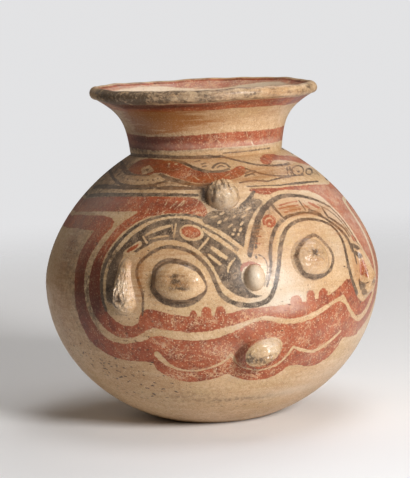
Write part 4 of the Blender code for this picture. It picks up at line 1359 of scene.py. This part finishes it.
def paintedClay(name):
    clay = Recipe(bpy.data.materials.new(name))
    field = ClayField(clay)
    ground, grime = buffGround(clay, field)
    redMask, darkMask = slipMasks(field)
    wear = slipWear(field)
    redTone, darkTone = slipTones(clay, field)
    pitMask, cracks = pitsAndCracks(field)

    flake = clay.tint(field.fine.between(0.45, 0.66) * 0.38, clayFinish["flake"], clayFinish["dust"])
    colour = clay.tint(redMask, ground, redTone)
    colour = clay.tint(redMask * wear * 0.92, colour, flake)
    thin = field.patchy.between(0.42, 0.70) * 0.16 + field.fine.between(0.50, 0.75) * 0.14
    colour = clay.tint(darkMask * (0.97 - thin), colour, darkTone)
    colour = clay.tint(darkMask * wear * 0.55, colour, ground)
    colour = soiled(clay, field, colour, dict(red=redMask, dark=darkMask, pits=pitMask, cracks=cracks))

    roughness = clayGloss["rough"] + wear * 0.20 + (field.fine - 0.5) * 0.24 + (field.cloud - 0.5) * 0.22
    roughness = roughness + field.smoked * 0.10 + field.rubbed * 0.05
    roughness = roughness * (1 - field.polished * clayGloss["polish"])
    height = field.wiped * 0.25 + field.streaks * 0.15 + field.patchy * 0.45 + field.fine * 0.28
    height = height - pitMask * 1.2 - grime * 0.3 - cracks * 0.6
    height = height - redMask * wear * 0.35 + redMask * 0.10
    sockets = {"Strength": clayGloss["bump"], "Distance": clayGloss["bumpHeight"], "Height": height}
    bump = clay.node("ShaderNodeBump", {}, sockets)
    return clay.finish(colour, roughness.clamped(), bump)


# Pieces become objects with their paint on them

soiling = dict(smokeAndShade=0.70, stain=0.30, liningRubbed=0.5, liningFaded=0.7)


def makeObject(piece, material):
    mesh = bpy.data.meshes.new(piece["name"])
    piece["bm"].to_mesh(mesh)
    piece["bm"].free()
    mesh.shade_smooth()
    mesh.set_sharp_from_angle(angle=math.radians(50))
    values = dict(zip(("redSlip", "darkSlip", "tanSlip"), layers(piece)))
    for name, spots in marks.items():
        values[name] = smudge(piece, spots)
    values["rubbed"] = np.where(piece["outside"], values["rubbed"], soiling["liningRubbed"])
    values["faded"] = np.where(piece["outside"], values["faded"], soiling["liningFaded"])
    # the lumps' dirt, with its painted shade, darkens through both smoke and stain
    values["smoked"] += soiling["smokeAndShade"] * piece["dirt"]
    values["stained"] += soiling["stain"] * piece["dirt"]
    values["polished"] = piece["polish"]
    for name, numbers in values.items():
        mesh.attributes.new(name, "FLOAT", "POINT").data.foreach_set("value", numbers.astype(np.float32))
    made = bpy.data.objects.new(piece["name"], mesh)
    bpy.context.scene.collection.objects.link(made)
    mesh.materials.append(material)
    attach(made, "root")
    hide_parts(piece["node"])
    print("painted", piece["name"])
    return made


slots = dict(rim_lip="worn_clay", brow_knob="worn_clay", ear_left="worn_clay", ear_right="worn_clay")
slots["mouth"] = "red_slip"
clay = paintedClay("paintedClay")
for piece in pieces:
    makeObject(piece, clay)


# Stage: a pale floor that fades into a pale surround, a key from the right and weak fills

studio = dict(
    floorTone=(0.88, 0.875, 0.88, 1),
    floorRadius=2.0,
    fadeStart=0.34,
    fadeEnd=1.25,
    surroundTone=(0.765, 0.765, 0.775, 1),
    worldTone=(0.058, 0.0525, 0.0455, 1),
    glossShare=0.07,
    lampAim=0.11,
)


def makeFloor():
    bm = bmesh.new()
    bmesh.ops.create_circle(bm, cap_ends=True, segments=128, radius=studio["floorRadius"])
    mesh = bpy.data.meshes.new("paleFloor")
    bm.to_mesh(mesh)
    bm.free()
    floor = bpy.data.objects.new("paleFloor", mesh)
    bpy.context.scene.collection.objects.link(floor)
    paper = Recipe(bpy.data.materials.new("palePaper"))
    place = paper.node("ShaderNodeTexCoord", {}, {}, 3)
    far = paper.node("ShaderNodeVectorMath", dict(operation="LENGTH"), {0: place}, 1)
    sheet = paper.node("ShaderNodeBsdfDiffuse", {}, {"Color": studio["floorTone"]})
    clear = paper.node("ShaderNodeBsdfTransparent", {}, {})
    fade = far.between(studio["fadeStart"], studio["fadeEnd"])
    shader = paper.node("ShaderNodeMixShader", {}, {0: fade, 1: sheet, 2: clear})
    paper.node("ShaderNodeOutputMaterial", {}, {"Surface": shader})
    mesh.materials.append(paper.owner)


def setSurround():
    # pale where it is seen, dim where it lights the jar
    sky = Recipe(bpy.data.worlds.new("studioWorld"))
    seen, glossy, through = (sky.node("ShaderNodeLightPath", {}, {}, ray) for ray in lightRays)
    share = (seen + through + glossy * studio["glossShare"]).clamped()
    tone = sky.tint(share, studio["worldTone"], studio["surroundTone"])
    light = sky.node("ShaderNodeBackground", {}, {"Color": tone})
    sky.node("ShaderNodeOutputWorld", {}, {"Surface": light})
    bpy.context.scene.world = sky.owner


lightRays = ("Is Camera Ray", "Is Glossy Ray", "Is Transmission Ray")
lamps = {
    "keyLamp": dict(azimuth=37, elevation=20.5, distance=1.5, size=0.48, power=24.5),
    "skyLamp": dict(azimuth=70, elevation=78, distance=1.6, size=0.9, power=6.2),
    "backLamp": dict(azimuth=150, elevation=52, distance=1.4, size=0.8, power=4.5),
    "fillLamp": dict(azimuth=235, elevation=30, distance=1.8, size=1.2, power=3.3, tone=(1, 0.9, 0.78)),
}


def setLamps():
    middle = Vector((0, 0, studio["lampAim"]))
    for name, lamp in lamps.items():
        turn, tilt = math.radians(shot["azimuth"] + lamp["azimuth"]), math.radians(lamp["elevation"])
        way = Vector((math.sin(turn) * math.cos(tilt), -math.cos(turn) * math.cos(tilt), math.sin(tilt)))
        data = bpy.data.lights.new(name, "AREA")
        data.shape = "DISK"
        data.size = lamp["size"]
        data.energy = lamp["power"]
        data.color = lamp.get("tone", (1, 1, 1))
        made = bpy.data.objects.new(name, data)
        made.location = middle + way * lamp["distance"]
        made.rotation_euler = way.to_track_quat("Z", "Y").to_euler()
        bpy.context.scene.collection.objects.link(made)


makeFloor()
setSurround()
setLamps()
bpy.context.scene.view_settings.view_transform = "Standard"
print("stage and lamps set")
